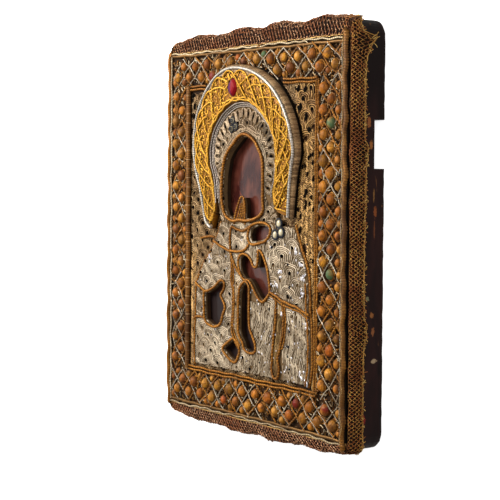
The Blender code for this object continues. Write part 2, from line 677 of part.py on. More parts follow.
def halo_drop(share):
    """Return how far the halo's top lies below its full height at a share of its length."""
    return HALO_END_DROP * (1.0 - smooth_step(0.0, HALO_END_SHARE, min(share, 1.0 - share)))


def build_halo(material):
    """The padded horseshoe: a plain wall, a ledge for the silver cord and a quilted gold top."""
    outer = even_route(HALO_OUTER, HALO_STATIONS)
    inner = even_route(HALO_INNER, HALO_STATIONS)
    rings = []
    for i, (a, b) in enumerate(zip(outer, inner)):
        width = math.dist(a, b)
        ledge = HALO_LEDGE_WIDTH / width
        drop = halo_drop(i / (HALO_STATIONS - 1))

        def at(share, z):
            low = 0.0 if z == HALO_BASE else drop
            return (a[0] + (b[0] - a[0]) * share, a[1] + (b[1] - a[1]) * share, z - low)

        crests = [HALO_CREST if (i + k) % 2 else HALO_VALLEY for k in range(3)]
        gold = [ledge + HALO_GOLD_START + (HALO_GOLD_END - ledge) * share for share in HALO_GOLD_ROWS]
        rings.append([at(0.0, HALO_BASE), at(0.0, HALO_LEDGE - HALO_WALL_CHAMFER),
                      at(HALO_WALL_LEAN, HALO_LEDGE), at(ledge, HALO_LEDGE),
                      *(at(share, z) for share, z in zip(gold, crests)),
                      at(1.0, HALO_INNER_EDGE), at(1.0, HALO_BASE)])
    return make_object("halo", *bridge(rings), material, HALO_SMOOTH)


def build_faceted_stone(name, centre, radius, z_low, z_top, material, sides=8):
    """A cut stone with a girdle, a crown and a flat table."""
    rings = []
    for share, z, turn in ((0.78, z_low, 0.0), (1.0, z_low + 0.35 * (z_top - z_low), 0.0),
                           (0.72, z_low + 0.78 * (z_top - z_low), 0.5), (0.4, z_top, 0.5)):
        rings.append([(centre[0] + radius * share * math.cos(2.0 * math.pi * (k + turn) / sides),
                       centre[1] + radius * share * math.sin(2.0 * math.pi * (k + turn) / sides), z)
                      for k in range(sides)])
    return make_object(name, *bridge(rings), material)


def build_small_stones(stones, radius, surface, material):
    """A group of domed stones that lie on the figure."""
    for name, centre in stones.items():
        build_faceted_stone(name, centre, radius, surface + GAP,
                            surface + GAP + SMALL_STONE_HEIGHT, material, sides=7)


def build_figure_cords(material):
    """The couched cords of the robe, joined where they touch."""
    runs = {"collar": COLLAR, "neck": NECK, "stole": STOLE, "arm": ARM, "lapel": LAPEL,
            "ribbon": RIBBON, "cuff_upper": CUFF_UPPER, "cuff_lower": CUFF_LOWER, "robe_right": ROBE_RIGHT}
    rims = {"hand_rim": HAND_RIM, "sleeve_rim": SLEEVE_RIM, "slit_rim": SLIT_RIM, "book_rim": BOOK_RIM,
            "lozenge_rim": LOZENGE_RIM}
    cords = make_cord("figure_cords", laid_route(ROBE_LEFT, FIGURE_CORD, CORD_STEP), FIGURE_CORD, FIGURE_CORD,
                      material, sides=5)
    parts = []
    for closed, group in ((False, runs), (True, rims)):
        for name, points in group.items():
            lift = CROSSING_LIFT + CROSSING_LIFT_STEP * len(parts)
            half = FIGURE_CORD + CROSSING_WIDTH_STEP * (len(parts) % 3)
            route = laid_route(points, half, RIM_STEP, closed, lift)
            parts.append(make_cord(name, route, half, half, material, closed, sides=5))
    combine_all(cords, parts, "UNION")
    return cords


def build_face_cord(material):
    """The cord round the face opening, which climbs from the robe on to the hood."""
    route = laid_route(FACE_RIM, FACE_CORD, RIM_STEP, closed=True, lift=FACE_CORD_LIFT)
    return make_cord("face_cord", route, FACE_CORD, FACE_CORD, material, closed=True, sides=6)


def build_halo_cords(material):
    """The silver cords on the halo's ledge and at the foot of its inner wall."""
    edge = []
    pairs = zip(even_route(HALO_OUTER, HALO_STATIONS), even_route(HALO_INNER, HALO_STATIONS))
    for i, (a, b) in enumerate(pairs):
        share = EDGE_CORD_INSET / math.dist(a, b)
        level = HALO_LEDGE - halo_drop(i / (HALO_STATIONS - 1))
        edge.append((a[0] + (b[0] - a[0]) * share, a[1] + (b[1] - a[1]) * share,
                     level + GAP + SILVER_CORD))
    make_cord("halo_edge_cord", edge[1:-1], SILVER_CORD, SILVER_CORD, material, sides=5)
    foot = [(x, y, relief_height(x, y) + GAP + SILVER_CORD + FOOT_CORD_LIFT)
            for x, y in inset(even_route(HALO_INNER, FOOT_CORD_STATIONS), FOOT_CORD_INSET)]
    make_cord("halo_foot_cord", foot[FOOT_CORD_TRIM:-FOOT_CORD_TRIM], SILVER_CORD, SILVER_CORD, material,
              sides=5)


def stone_seat(material):
    """The recess in the halo's top that the large stone sits in."""
    radius = HALO_STONE_RADIUS + HALO_SEAT_CLEARANCE
    outline = [(HALO_STONE[0] + radius * math.cos(k * math.pi / 6.0),
                HALO_STONE[1] + radius * math.sin(k * math.pi / 6.0)) for k in range(12)]
    return make_prism("stone_seat", outline, HALO_SEAT, HALO_CREST + CUT_OVERRUN, material)


def main():
    """Build every piece of the icon."""
    remove_scene_objects()
    wood = make_material("dark_wood", (0.035, 0.014, 0.012), 0.32)
    batten_wood = make_material("batten_wood", (0.06, 0.03, 0.02), 0.5)
    silver_work = make_material("silver_work", (0.42, 0.36, 0.27), 0.45, 0.35)
    gold_work = make_material("gold_work", (0.70, 0.42, 0.05), 0.38, 0.5)
    gold_cord = make_material("gold_cord", (0.32, 0.16, 0.045), 0.5, 0.25)
    silver_cord = make_material("silver_cord", (0.62, 0.58, 0.52), 0.35, 0.6)
    bead_wood = make_material("bead_wood", (0.36, 0.17, 0.05), 0.4)
    lace_thread = make_material("lace_thread", (0.22, 0.12, 0.05), 0.55, 0.2)
    red_stone = make_material("red_stone", (0.28, 0.01, 0.05), 0.12)
    pale_stone = make_material("pale_stone", (0.72, 0.66, 0.52), 0.2)

    build_board(wood)
    build_lower_batten(batten_wood)
    clearance = make_prism("halo_clearance", halo_loop(HALO_CLEARANCE), COVER_TOP - 2.0 * BURIED,
                           HALO_CREST + CUT_OVERRUN, gold_work)
    build_cover(silver_work, clearance)
    build_lace(lace_thread)
    build_outer_cord(gold_cord)
    build_inner_cord(gold_cord)
    build_beadwork(bead_wood, clearance)
    halo = build_halo(gold_work)
    combine(halo, stone_seat(gold_work), "DIFFERENCE")
    build_halo_cords(silver_cord)
    build_faceted_stone("halo_stone", HALO_STONE, HALO_STONE_RADIUS, HALO_SEAT + GAP, HALO_STONE_TOP,
                        red_stone, sides=9)
    build_face_cord(gold_cord)
    build_figure_cords(gold_cord)
    build_small_stones(SHOULDER_STONES, SHOULDER_STONE_RADIUS, ROBE_TOP + SHOULDER_STONE_LIFT, pale_stone)
    build_small_stones(HOOD_STONES, HOOD_STONE_RADIUS, HOOD_TOP, pale_stone)


main()
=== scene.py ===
"""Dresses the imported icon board: cloth, couched metal thread, cords, beads, lace, halo and stones.

Lengths in the classes are millimetres in the icon's own frame: the front looks up (+Z), the top
of the icon is +Y, and the back lies on the floor at Z = 0. MM turns them into metres.
"""

import logging
import math
from dataclasses import dataclass
from enum import Enum
from typing import Any, Callable, Optional, Sequence

import bpy
import numpy as np
from mathutils import Matrix, Vector
from mathutils.bvhtree import BVHTree


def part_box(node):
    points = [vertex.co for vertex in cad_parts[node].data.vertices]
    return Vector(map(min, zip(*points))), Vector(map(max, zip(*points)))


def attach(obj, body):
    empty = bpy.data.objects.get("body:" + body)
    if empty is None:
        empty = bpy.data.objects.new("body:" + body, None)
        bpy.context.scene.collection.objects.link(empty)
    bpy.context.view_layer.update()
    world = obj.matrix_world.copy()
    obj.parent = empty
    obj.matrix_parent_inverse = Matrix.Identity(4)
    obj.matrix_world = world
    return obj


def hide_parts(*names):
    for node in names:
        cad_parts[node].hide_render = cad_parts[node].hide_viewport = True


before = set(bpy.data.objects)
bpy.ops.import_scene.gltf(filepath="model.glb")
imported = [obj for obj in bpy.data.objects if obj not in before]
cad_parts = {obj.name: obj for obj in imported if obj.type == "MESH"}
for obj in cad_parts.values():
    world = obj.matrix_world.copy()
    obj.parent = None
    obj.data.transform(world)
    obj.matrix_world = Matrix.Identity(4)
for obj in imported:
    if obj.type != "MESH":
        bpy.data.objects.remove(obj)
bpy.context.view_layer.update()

LOG = logging.getLogger("icon")
MM = 0.001
BODY = "root"
BOARD_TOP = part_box("icon_board")[1].z / MM
GROUND = BOARD_TOP + 2.1
TOP_SLANT = 0.02

Route = np.ndarray
Routes = Sequence[np.ndarray]
Points = Sequence[Sequence[float]]
Pair = tuple[float, float]
Triple = tuple[float, float, float]
Color = Triple
Keep = Callable[[float, float, float], bool]
Socket = bpy.types.NodeSocket
Piece = bpy.types.Object
Material = bpy.types.Material


# ---- routes


def travelled(route: Route) -> Route:
    """Return the way from a route's start to each of its points."""
    return np.concatenate([[0.0], np.cumsum(np.linalg.norm(np.diff(route, axis=0), axis=1))])


def spaced(route: Route, count: int, endpoint: bool = True) -> Route:
    """Return a number of evenly spaced points on a route.

    Args:
        route: Points of an open route.
        count: How many points to return.
        endpoint: Whether the last point is one of them.

    Returns:
        The points, one a row.
    """
    lengths = travelled(route)
    targets = np.linspace(0.0, lengths[-1], count, endpoint=endpoint)
    return np.stack([np.interp(targets, lengths, route[:, k]) for k in range(route.shape[1])], axis=1)


def resample(route: Route, step: float) -> Route:
    """Return a route with even steps close to the wanted one."""
    return spaced(route, max(2, int(round(travelled(route)[-1] / step)) + 1))


def smooth(points: Points, step: float, closed: bool = False) -> Route:
    """Return a Catmull-Rom route through the points with even steps.

    Args:
        points: The route's own points.
        step: The wanted spacing.
        closed: Whether the route ends where it starts; its first point isn't repeated then.

    Returns:
        The points of the route, one a row.
    """
    knots = np.asarray(points, float)
    first, last = (knots[-1:], knots[:2]) if closed else (knots[:1], knots[-1:])
    padded = np.concatenate([first, knots, last])
    t = np.linspace(0.0, 1.0, 12, endpoint=False)[:, None]
    fine = [0.5 * (2.0 * b + (c - a) * t + (2.0 * a - 5.0 * b + 4.0 * c - d) * t * t
                   + (3.0 * b - a - 3.0 * c + d) * t ** 3)
            for a, b, c, d in zip(padded, padded[1:], padded[2:], padded[3:])]
    even = resample(np.concatenate(fine + [padded[-2:-1]]), step)
    return even[:-1] if closed else even


def side_of(route: Route, closed: bool = False) -> Route:
    """Return the unit vectors that point to a route's left, in the plane."""
    if closed:
        along = np.roll(route, -1, axis=0)[:, :2] - np.roll(route, 1, axis=0)[:, :2]
    else:
        along = np.gradient(route[:, :2], axis=0)
    along /= np.maximum(np.linalg.norm(along, axis=1), 1e-9)[:, None]
    return np.stack([-along[:, 1], along[:, 0]], axis=1)


def stretches(test: Route) -> list[Route]:
    """Return the indices of each stretch over which a test of a route's points stays the same."""
    return np.split(np.arange(len(test)), np.where(np.diff(test.astype(int)) != 0)[0] + 1)


def shifted(route: Route, distance: float, closed: bool = False) -> Route:
    """Return a route moved to its left by a distance."""
    moved = route.copy()
    moved[:, :2] += side_of(route, closed) * distance
    return moved


def inside(x: float, y: float, outline: Route) -> bool:
    """Say whether a point lies inside a closed outline."""
    a = outline[:, :2]
    b = np.roll(a, -1, axis=0)
    crosses = (a[:, 1] > y) != (b[:, 1] > y)
    rise = np.where(crosses, b[:, 1] - a[:, 1], 1.0)
    where = a[:, 0] + (y - a[:, 1]) * (b[:, 0] - a[:, 0]) / rise
    return bool(np.count_nonzero(crosses & (where > x)) % 2)


def waver(route: Route, size: float, length: float, seed: int) -> Route:
    """Move a route's points gently about, as a hand lays thread.

    Args:
        route: The points.
        size: The largest sideways move.
        length: The distance over which the move changes.
        seed: Which of the possible wanders is used.

    Returns:
        The moved points.
    """
    phase = np.random.default_rng(seed).uniform(0.0, math.tau, 4)
    x, y = route[:, 0] / length, route[:, 1] / length
    moved = route.copy()
    moved[:, 0] += size * 0.5 * (np.sin(1.3 * y + phase[0]) + np.sin(2.9 * y + 1.7 * x + phase[1]))
    moved[:, 1] += size * 0.5 * (np.sin(1.1 * x + phase[2]) + np.sin(3.1 * x - 1.9 * y + phase[3]))
    return moved


def clamp(value: float, low: float = 0.0, high: float = 1.0) -> float:
    """Return a value, or the end of the range that it lies beyond."""
    return min(max(value, low), high)


def smooth_step(low: float, high: float, value: float) -> float:
    """Return 0 below low, 1 above high and an eased value between."""
    t = clamp((value - low) / (high - low))
    return t * t * (3.0 - 2.0 * t)


def near_top(y: float) -> float:
    """Return how much of the top edge's slant a row takes, from 0 to 1."""
    return smooth_step(90.0, 115.0, y)


def slanted(route: Route) -> Route:
    """Return a route with the part near the icon's top edge moved on to its slanting line."""
    moved = route.copy()
    share = np.array([near_top(y) for y in moved[:, 1]])
    moved[:, 1] += -TOP_SLANT * moved[:, 0] * share
    return moved


def level(route: Route, height: float) -> Route:
    """Return a flat route with one height for all its points."""
    return np.column_stack([route, np.full(len(route), height)])


def turns(count: int) -> Route:
    """Return even angles round a full turn."""
    return np.linspace(0.0, math.tau, count + 1)[:-1]


def oval(x: float, y: float, half_x: Any, half_y: Any, angles: Route, height: Any) -> Route:
    """Return points round an oval at a height."""
    return np.column_stack([x + half_x * np.cos(angles), y + half_y * np.sin(angles),
                            np.broadcast_to(height, len(angles))])


def turned(angle: float) -> Route:
    """Return the two axes of a frame turned by an angle, one a row."""
    return np.array([[math.cos(angle), math.sin(angle)], [-math.sin(angle), math.cos(angle)]])


def corner_arcs(half: Pair, corner: float, radius: float, steps: int) -> list[Route]:
    """Return the corners of a rounded rectangle.

    Args:
        half: Half the rectangle's width and height.
        corner: How far the arcs' centres lie inside its sides.
        radius: The arcs' own radius.
        steps: How many steps each arc has.

    Returns:
        The four arcs, anticlockwise from the top right one.
    """
    arcs = []
    for i, (sx, sy) in enumerate(((1, 1), (-1, 1), (-1, -1), (1, -1))):
        centre = np.array([sx * (half[0] - corner), sy * (half[1] - corner)])
        angles = np.radians(90.0 * i + 90.0 * np.arange(steps + 1) / steps)
        arcs.append(centre + radius * np.stack([np.cos(angles), np.sin(angles)], axis=1))
    return arcs


class Relief:
    """The height of some CAD solids, found by looking straight down on them."""

    def __init__(self, *nodes: str) -> None:
        """Gather the triangles of the named nodes."""
        corners: list[Vector] = []
        faces: list[tuple[int, ...]] = []
        for node in nodes:
            mesh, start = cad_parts[node].data, len(corners)
            corners += [v.co.copy() for v in mesh.vertices]
            faces += [tuple(start + k for k in p.vertices) for p in mesh.polygons]
        self._tree = BVHTree.FromPolygons(corners, faces)

    def height(self, x: float, y: float) -> Optional[float]:
        """Return the height at a point, or None where there is nothing."""
        hit = self._tree.ray_cast(Vector((x * MM, y * MM, 0.08)), Vector((0.0, 0.0, -1.0)), 0.1)[0]
        return None if hit is None else hit.z / MM

    def lay(self, route: Route, lift: float, keep: Optional[Keep] = None) -> list[Route]:
        """Lay a flat route on the solids, and cut it where it may not go.

        Args:
            route: Points (x, y).
            lift: The height of the thread's middle over the surface.
            keep: Says for (x, y, surface height) whether a point may stay.

        Returns:
            The stretches that are left, as points (x, y, z).
        """
        runs: list[list[tuple[float, float, float]]] = [[]]
        for x, y in route[:, :2]:
            z = self.height(x, y)
            if z is None or (keep is not None and not keep(x, y, z)):
                runs.append([])
            else:
                runs[-1].append((x, y, z + lift))
        return [np.array(run) for run in runs if len(run) > 2]

    def follow(self, route: Route, lift: float) -> Route:
        """Lay a whole cord on the solids, bridging gaps and easing its steps."""
        heights = [self.height(x, y) for x, y in route[:, :2]]
        last = next((z for z in heights if z is not None), GROUND)
        filled = [last := last if z is None else z for z in heights]
        eased = np.array(filled)
        for _ in range(3):
            eased = np.maximum(eased, 0.25 * np.roll(eased, 1) + 0.5 * eased + 0.25 * np.roll(eased, -1))
        return np.column_stack([route[:, :2], eased + lift])


# ---- node networks


class Net:
    """A node network that is built one node at a time."""

    def __init__(self, tree: bpy.types.NodeTree) -> None:
        """Take the network that grows."""
        self.tree = tree

    def fill(self, socket: Socket, value: Any) -> None:
        """Link a socket to another one, or set its value."""
        if isinstance(value, Socket):
            self.tree.links.new(value, socket)
        else:
            socket.default_value = value

    def node(self, kind: str, inputs: dict[Any, Any], **settings: Any) -> bpy.types.Node:
        """Add a node.

        Args:
            kind: The node's type name.
            inputs: A socket to link or a value to set, by the input's name or number.
            settings: The node's own settings.

        Returns:
            The node.
        """
        node = self.tree.nodes.new(kind)
        for name, value in settings.items():
            setattr(node, name, value)
        for key, value in inputs.items():
            named = (s for s in node.inputs if s.name == key and s.enabled)
            self.fill(node.inputs[key] if isinstance(key, int) else next(named), value)
        return node

    def add(self, kind: str, inputs: dict[Any, Any], **settings: Any) -> Socket:
        """Add a node and return its first output that is in use."""
        return next(s for s in self.node(kind, inputs, **settings).outputs if s.enabled)

    def math(self, operation: str, first: Any, second: Any = 0.0) -> Socket:
        """Add a sum of two numbers and return its result."""
        return self.add("ShaderNodeMath", {0: first, 1: second}, operation=operation)

    def vector(self, operation: str, first: Any, second: Any = None) -> Socket:
        """Add a sum of two vectors, or of a vector and a scale, and return its result."""
        inputs = {0: first} if second is None else {0: first, "Scale" if operation == "SCALE" else 1: second}
        return self.add("ShaderNodeVectorMath", inputs, operation=operation)


class NodeTree(Net):
    """A Geometry Nodes group that dresses the lines or points of a mesh."""

    def __init__(self, name: str) -> None:
        """Start a group that takes geometry and a material."""
        super().__init__(bpy.data.node_groups.new(name, "GeometryNodeTree"))
        for title, way in (("Geometry", "INPUT"), ("Material", "INPUT"), ("Geometry", "OUTPUT")):
            self.tree.interface.new_socket(title, in_out=way, socket_type="NodeSocket" + title)
        self._entry = self.tree.nodes.new("NodeGroupInput")
        self._exit = self.tree.nodes.new("NodeGroupOutput")

    @property
    def geometry(self) -> Socket:
        """The geometry that comes in."""
        return self._entry.outputs["Geometry"]

    def size(self, name: str, value: float | int) -> Socket:
        """Add a named input with its usual value, and return it."""
        kind = "NodeSocketInt" if isinstance(value, int) else "NodeSocketFloat"
        self.tree.interface.new_socket(name, in_out="INPUT", socket_type=kind).default_value = value
        return self._entry.outputs[name]

    def geo(self, kind: str, inputs: Optional[dict[str, Any]] = None, **settings: Any) -> Socket:
        """Add a geometry node and return its first output that is in use."""
        return self.add("GeometryNode" + kind, inputs or {}, **settings)

    def xyz(self, x: Any, y: Any, z: Any) -> Socket:
        """Return a vector of three numbers or sockets."""
        return self.add("ShaderNodeCombineXYZ", {"X": x, "Y": y, "Z": z})

    def stored(self, stream: Socket, name: str, value: Socket, domain: str) -> Socket:
        """Keep a number as an attribute of the geometry."""
        return self.geo("StoreNamedAttribute", {"Geometry": stream, "Name": name, "Value": value}, domain=domain)

    def number(self, name: str) -> Socket:
        """Read a number that the geometry carries."""
        return self.geo("InputNamedAttribute", {"Name": name}, data_type="FLOAT")

    def tones(self, stream: Socket, domain: str) -> Socket:
        """Give each curve or instance its own random tone."""
        inputs = {"ID": self.geo("InputIndex"), "Seed": self.size("Seed", 1)}
        tone = self.add("FunctionNodeRandomValue", inputs, data_type="FLOAT")
        return self.stored(stream, "tone", tone, domain)

    def retoned(self, stream: Socket, share: float, more: Any) -> Socket:
        """Keep a share of each point's tone and add to it."""
        old = self.math("MULTIPLY", self.number("tone"), share)
        return self.stored(stream, "tone", self.math("ADD", old, more), "POINT")

    def lines(self) -> Socket:
        """Turn the mesh's chains of edges into curves."""
        return self.geo("MeshToCurve", {"Mesh": self.geometry})

    def upright(self, curve: Socket) -> Socket:
        """Turn the curves' normals to lie flat, so that a section stays upright."""
        return self.geo("SetCurveNormal", {"Curve": curve}, mode="Z_UP")

    def stations(self, step: Socket) -> tuple[Socket, Socket]:
        """Return the lines with even stations and tones, and the length along them."""
        even = self.geo("ResampleCurve", {"Curve": self.lines(), "Length": step}, mode="LENGTH")
        along = self.node("GeometryNodeSplineParameter", {}).outputs["Length"]
        return self.upright(self.tones(even, "CURVE")), along

    def ring(self, sides: Any, radius: Any) -> Socket:
        """Return a round section."""
        return self.geo("CurvePrimitiveCircle", {"Resolution": sides, "Radius": radius})

    def oval(self, sides: Any) -> Socket:
        """Return an oval section whose half width and half height are inputs."""
        scale = self.xyz(self.size("Half width", 0.002), self.size("Half height", 0.0015), 1.0)
        return self.geo("Transform", {"Geometry": self.ring(sides, 1.0), "Scale": scale})

    def swept(self, curve: Socket, section: Socket, **more: Any) -> Socket:
        """Sweep a section along the curves and close its ends."""
        return self.geo("CurveToMesh", {"Curve": curve, "Profile Curve": section, "Fill Caps": True, **more})

    def finish(self, stream: Socket) -> "NodeTree":
        """Close the group: realise what was instanced, set the material and let it out."""
        real = self.geo("RealizeInstances", {"Geometry": stream})
        dressed = self.geo("SetMaterial", {"Geometry": real, "Material": self._entry.outputs["Material"]})
        self.fill(self._exit.inputs["Geometry"], dressed)
        return self

    def grow(self, name: str, source: Piece, material: Material, **sizes: float | int) -> Piece:
        """Run the group on an object and keep the result as a plain mesh.

        Args:
            name: The new piece's name.
            source: The object that the group starts from, which is used up.
            material: The finish.
            sizes: Values of the named inputs, with _ for a space.

        Returns:
            The new object.
        """
        wanted = {key.replace("_", " "): value for key, value in sizes.items()}
        wanted["material"] = material
        modifier = source.modifiers.new("grow", "NODES")
        modifier.node_group = self.tree
        for item in self.tree.interface.items_tree:
            if item.in_out == "INPUT" and item.name.lower() in wanted:
                modifier[item.identifier] = wanted.pop(item.name.lower())
        if wanted:
            raise ValueError(f"{self.tree.name} has no input {sorted(wanted)}")
        mesh = evaluated(source)
        bpy.data.objects.remove(source)
        mesh.name = name
        return add_object(name, mesh)


def thread_tree() -> NodeTree:
    """Lays a round thread along every line of a mesh."""
    tree = NodeTree("couched threads")
    section = tree.ring(tree.size("Sides", 4), tree.size("Radius", 0.0005))
    return tree.finish(tree.swept(tree.tones(tree.lines(), "CURVE"), section))


def twist_tree(strands: int) -> NodeTree:
    """Winds strands round every line of a mesh, as a twisted cord."""
    tree = NodeTree(f"twisted cord of {strands}")
    across, upward = tree.size("Across", 0.0005), tree.size("Upward", 0.0005)
    curve, along = tree.stations(tree.size("Station", 0.0007))
    angle = tree.math("MULTIPLY", tree.math("DIVIDE", along, tree.size("Lay", 0.003)), math.tau)
    normal = tree.geo("InputNormal")
    raised = tree.vector("CROSS_PRODUCT", tree.geo("InputTangent"), normal)
    section = tree.ring(tree.size("Sides", 4), tree.size("Strand", 0.0006))
    parts = []
    for k in range(strands):
        phase = tree.math("ADD", angle, math.tau * k / strands)
        wide = tree.vector("SCALE", normal, tree.math("MULTIPLY", tree.math("COSINE", phase), across))
        high = tree.vector("SCALE", raised, tree.math("MULTIPLY", tree.math("SINE", phase), upward))
        strand = tree.geo("SetPosition", {"Geometry": curve, "Offset": tree.vector("ADD", wide, high)})
        parts.append(tree.swept(tree.retoned(strand, 0.45, k * 0.55), section))
    joined = tree.tree.nodes.new("GeometryNodeJoinGeometry")
    for part in parts:
        tree.fill(joined.inputs[0], part)
    return tree.finish(joined.outputs[0])


def gimp_tree() -> NodeTree:
    """Lays a wrapped cord with fine ribs across it along every line of a mesh."""
    tree = NodeTree("wrapped cord")
    rib = tree.size("Rib", 0.001)
    curve, along = tree.stations(tree.math("MULTIPLY", rib, 0.333))
    turn = tree.math("MULTIPLY", tree.math("DIVIDE", along, rib), math.pi)
    wave = tree.math("ABSOLUTE", tree.math("SINE", turn))
    scale = tree.math("ADD", tree.math("MULTIPLY", wave, tree.size("Depth", 0.22)), 1.0)
    toned = tree.retoned(curve, 0.4, tree.math("MULTIPLY", wave, 0.6))
    return tree.finish(tree.swept(toned, tree.oval(tree.size("Sides", 8)), Scale=scale))


def stitch_tree() -> NodeTree:
    """Sets a small ring of thread round a cord's line at every step, as couching stitches."""
    tree = NodeTree("couching stitches")
    inputs = {"Curve": tree.upright(tree.lines()), "Length": tree.size("Pitch", 0.004)}
    spots = tree.node("GeometryNodeCurveToPoints", inputs, mode="LENGTH").outputs
    thread = tree.ring(4, tree.size("Radius", 0.0003))
    stitch = tree.geo("CurveToMesh", {"Curve": tree.oval(9), "Profile Curve": thread})
    placed = tree.geo("InstanceOnPoints", {"Points": spots["Points"], "Instance": stitch,
                                           "Rotation": spots["Rotation"]})
    return tree.finish(tree.tones(placed, "INSTANCE"))


def bead_tree() -> NodeTree:
    """Sets a low round bead on every point of a mesh, as large as the point says, with its own lean."""
    tree = NodeTree("beads")
    radius, lean = tree.size("Radius", 0.0046), tree.size("Lean", 0.12)
    ball = tree.geo("MeshUVSphere", {"Segments": 12, "Rings": 8, "Radius": radius})
    flat = tree.vector("MULTIPLY", tree.geo("InputPosition"), tree.xyz(1.0, 1.0, 0.0))
    away = tree.math("DIVIDE", tree.vector("LENGTH", flat), radius)
    scale = tree.xyz(1.0, 1.0, tree.size("Height share", 0.7))
    dome = tree.geo("Transform", {"Geometry": tree.stored(ball, "ring", away, "POINT"), "Scale": scale})
    less = tree.math("MULTIPLY", lean, -1.0)
    turn = tree.add("FunctionNodeRandomValue", {"Min": tree.xyz(less, less, 0.0), "ID": tree.geo("InputIndex"),
                                                "Max": tree.xyz(lean, lean, 6.28), "Seed": 5},
                    data_type="FLOAT_VECTOR")
    size = tree.number("size")
    rotation = tree.add("FunctionNodeEulerToRotation", {"Euler": turn})
    placed = tree.geo("InstanceOnPoints", {"Points": tree.geometry, "Instance": dome, "Rotation": rotation,
                                           "Scale": tree.xyz(size, size, size)})
    return tree.finish(tree.tones(placed, "INSTANCE"))


# ---- meshes


def add_object(name: str, data: Any) -> Piece:
    """Return a new object in the scene."""
    piece = bpy.data.objects.new(name, data)
    bpy.context.scene.collection.objects.link(piece)
    return piece


def evaluated(piece: Piece) -> bpy.types.Mesh:
    """Apply a piece's modifiers: return the mesh that they make and take them off."""
    mesh = bpy.data.meshes.new_from_object(piece.evaluated_get(bpy.context.evaluated_depsgraph_get()))
    piece.modifiers.clear()
    return mesh


def lines_object(runs: Routes, closed: bool = False) -> Piece:
    """Return an object with one chain of edges for each run of points in millimetres."""
    edges, start = [], 0
    for run in runs:
        edges += [(start + k, start + k + 1) for k in range(len(run) - 1)]
        if closed:
            edges.append((start + len(run) - 1, start))
        start += len(run)
    mesh = bpy.data.meshes.new("lines")
    mesh.from_pydata((np.concatenate(runs) * MM).tolist(), edges, [])
    return add_object("lines", mesh)


def mesh_object(name: str, corners: Points, faces: Sequence[Sequence[int]], material: Material,
                smooth_shading: bool = True) -> Piece:
    """Return an object from corners in millimetres.

    Args:
        name: The piece's name.
        corners: Points (x, y, z).
        faces: Indices of each face's corners, anticlockwise from outside.
        material: The finish.
        smooth_shading: Whether faces are shaded smooth.

    Returns:
        The new object.
    """
    mesh = bpy.data.meshes.new(name)
    mesh.from_pydata((np.asarray(corners, float) * MM).tolist(), [], [tuple(f) for f in faces])
    mesh.polygons.foreach_set("use_smooth", [smooth_shading] * len(mesh.polygons))
    mesh.materials.append(material)
    mesh.update()
    return add_object(name, mesh)


def loft(rings: Routes, closed: bool = False) -> tuple[Route, list[tuple[int, ...]]]:
    """Join rings of equal length.

    Args:
        rings: Rings that run anticlockwise seen from above, from the bottom one to the top one.
        closed: Whether the last ring joins the first; flat ends close the shape otherwise.

    Returns:
        The corners and the faces.
    """
    count, total = len(rings[0]), len(rings)
    faces: list[tuple[int, ...]] = []
    for r in range(total if closed else total - 1):
        low, high = r * count, (r + 1) % total * count
        faces += [(low + i, low + (i + 1) % count, high + (i + 1) % count, high + i) for i in range(count)]
    if not closed:
        faces += [tuple(reversed(range(count))), tuple(range((total - 1) * count, total * count))]
    return np.concatenate(rings), faces


def knobs(name: str, spots: Points, material: Material, sides: int = 7) -> Piece:
    """Return small closed knobs in one object.

    Args:
        name: The piece's name.
        spots: For each knob x, y, z, its radius, its height, its length over its width and its turn.
        material: The finish.
        sides: How many sides each has.

    Returns:
        The new object.
    """
    corners: list[tuple[float, float, float]] = []
    faces = []
    for x, y, z, radius, height, longer, turn in spots:
        start = len(corners)
        for angle in turns(sides):
            u, v = radius * longer * math.cos(angle), radius * math.sin(angle)
            corners.append((x + u * math.cos(turn) - v * math.sin(turn),
                            y + u * math.sin(turn) + v * math.cos(turn), z))
        corners += [(x, y, z + height), (x, y, z - 0.5 * height)]
        for k in range(start, start + sides):
            following = start + (k - start + 1) % sides
            faces += [(k, following, start + sides), (following, k, start + sides + 1)]
    return mesh_object(name, corners, faces, material, False)


def merged_copy(name: str, node: str, material: Material) -> Piece:
    """Return a copy of a CAD node with its loose triangles joined."""
    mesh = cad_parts[node].data.copy()
    mesh.materials.clear()
    mesh.materials.append(material)
    piece = add_object(name, mesh)
    piece.modifiers.new("weld", "WELD").merge_threshold = 0.01 * MM
    piece.data = evaluated(piece)
    return piece


def place(piece: Piece, slot: str, *replaced: str) -> Piece:
    """Let a piece ride on the icon and hide the CAD nodes that it stands for."""
    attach(piece, BODY)
    if replaced:
        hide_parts(*replaced)
    LOG.info("%s: %d faces", piece.name, len(piece.data.polygons))
    return piece


def join(name: str, parts: Sequence[Piece]) -> Piece:
    """Join finished parts into one piece; they keep their own materials."""
    with bpy.context.temp_override(active_object=parts[0], selected_editable_objects=list(parts)):
        bpy.ops.object.join()
    parts[0].name = parts[0].data.name = name
    return parts[0]


# ---- finishes


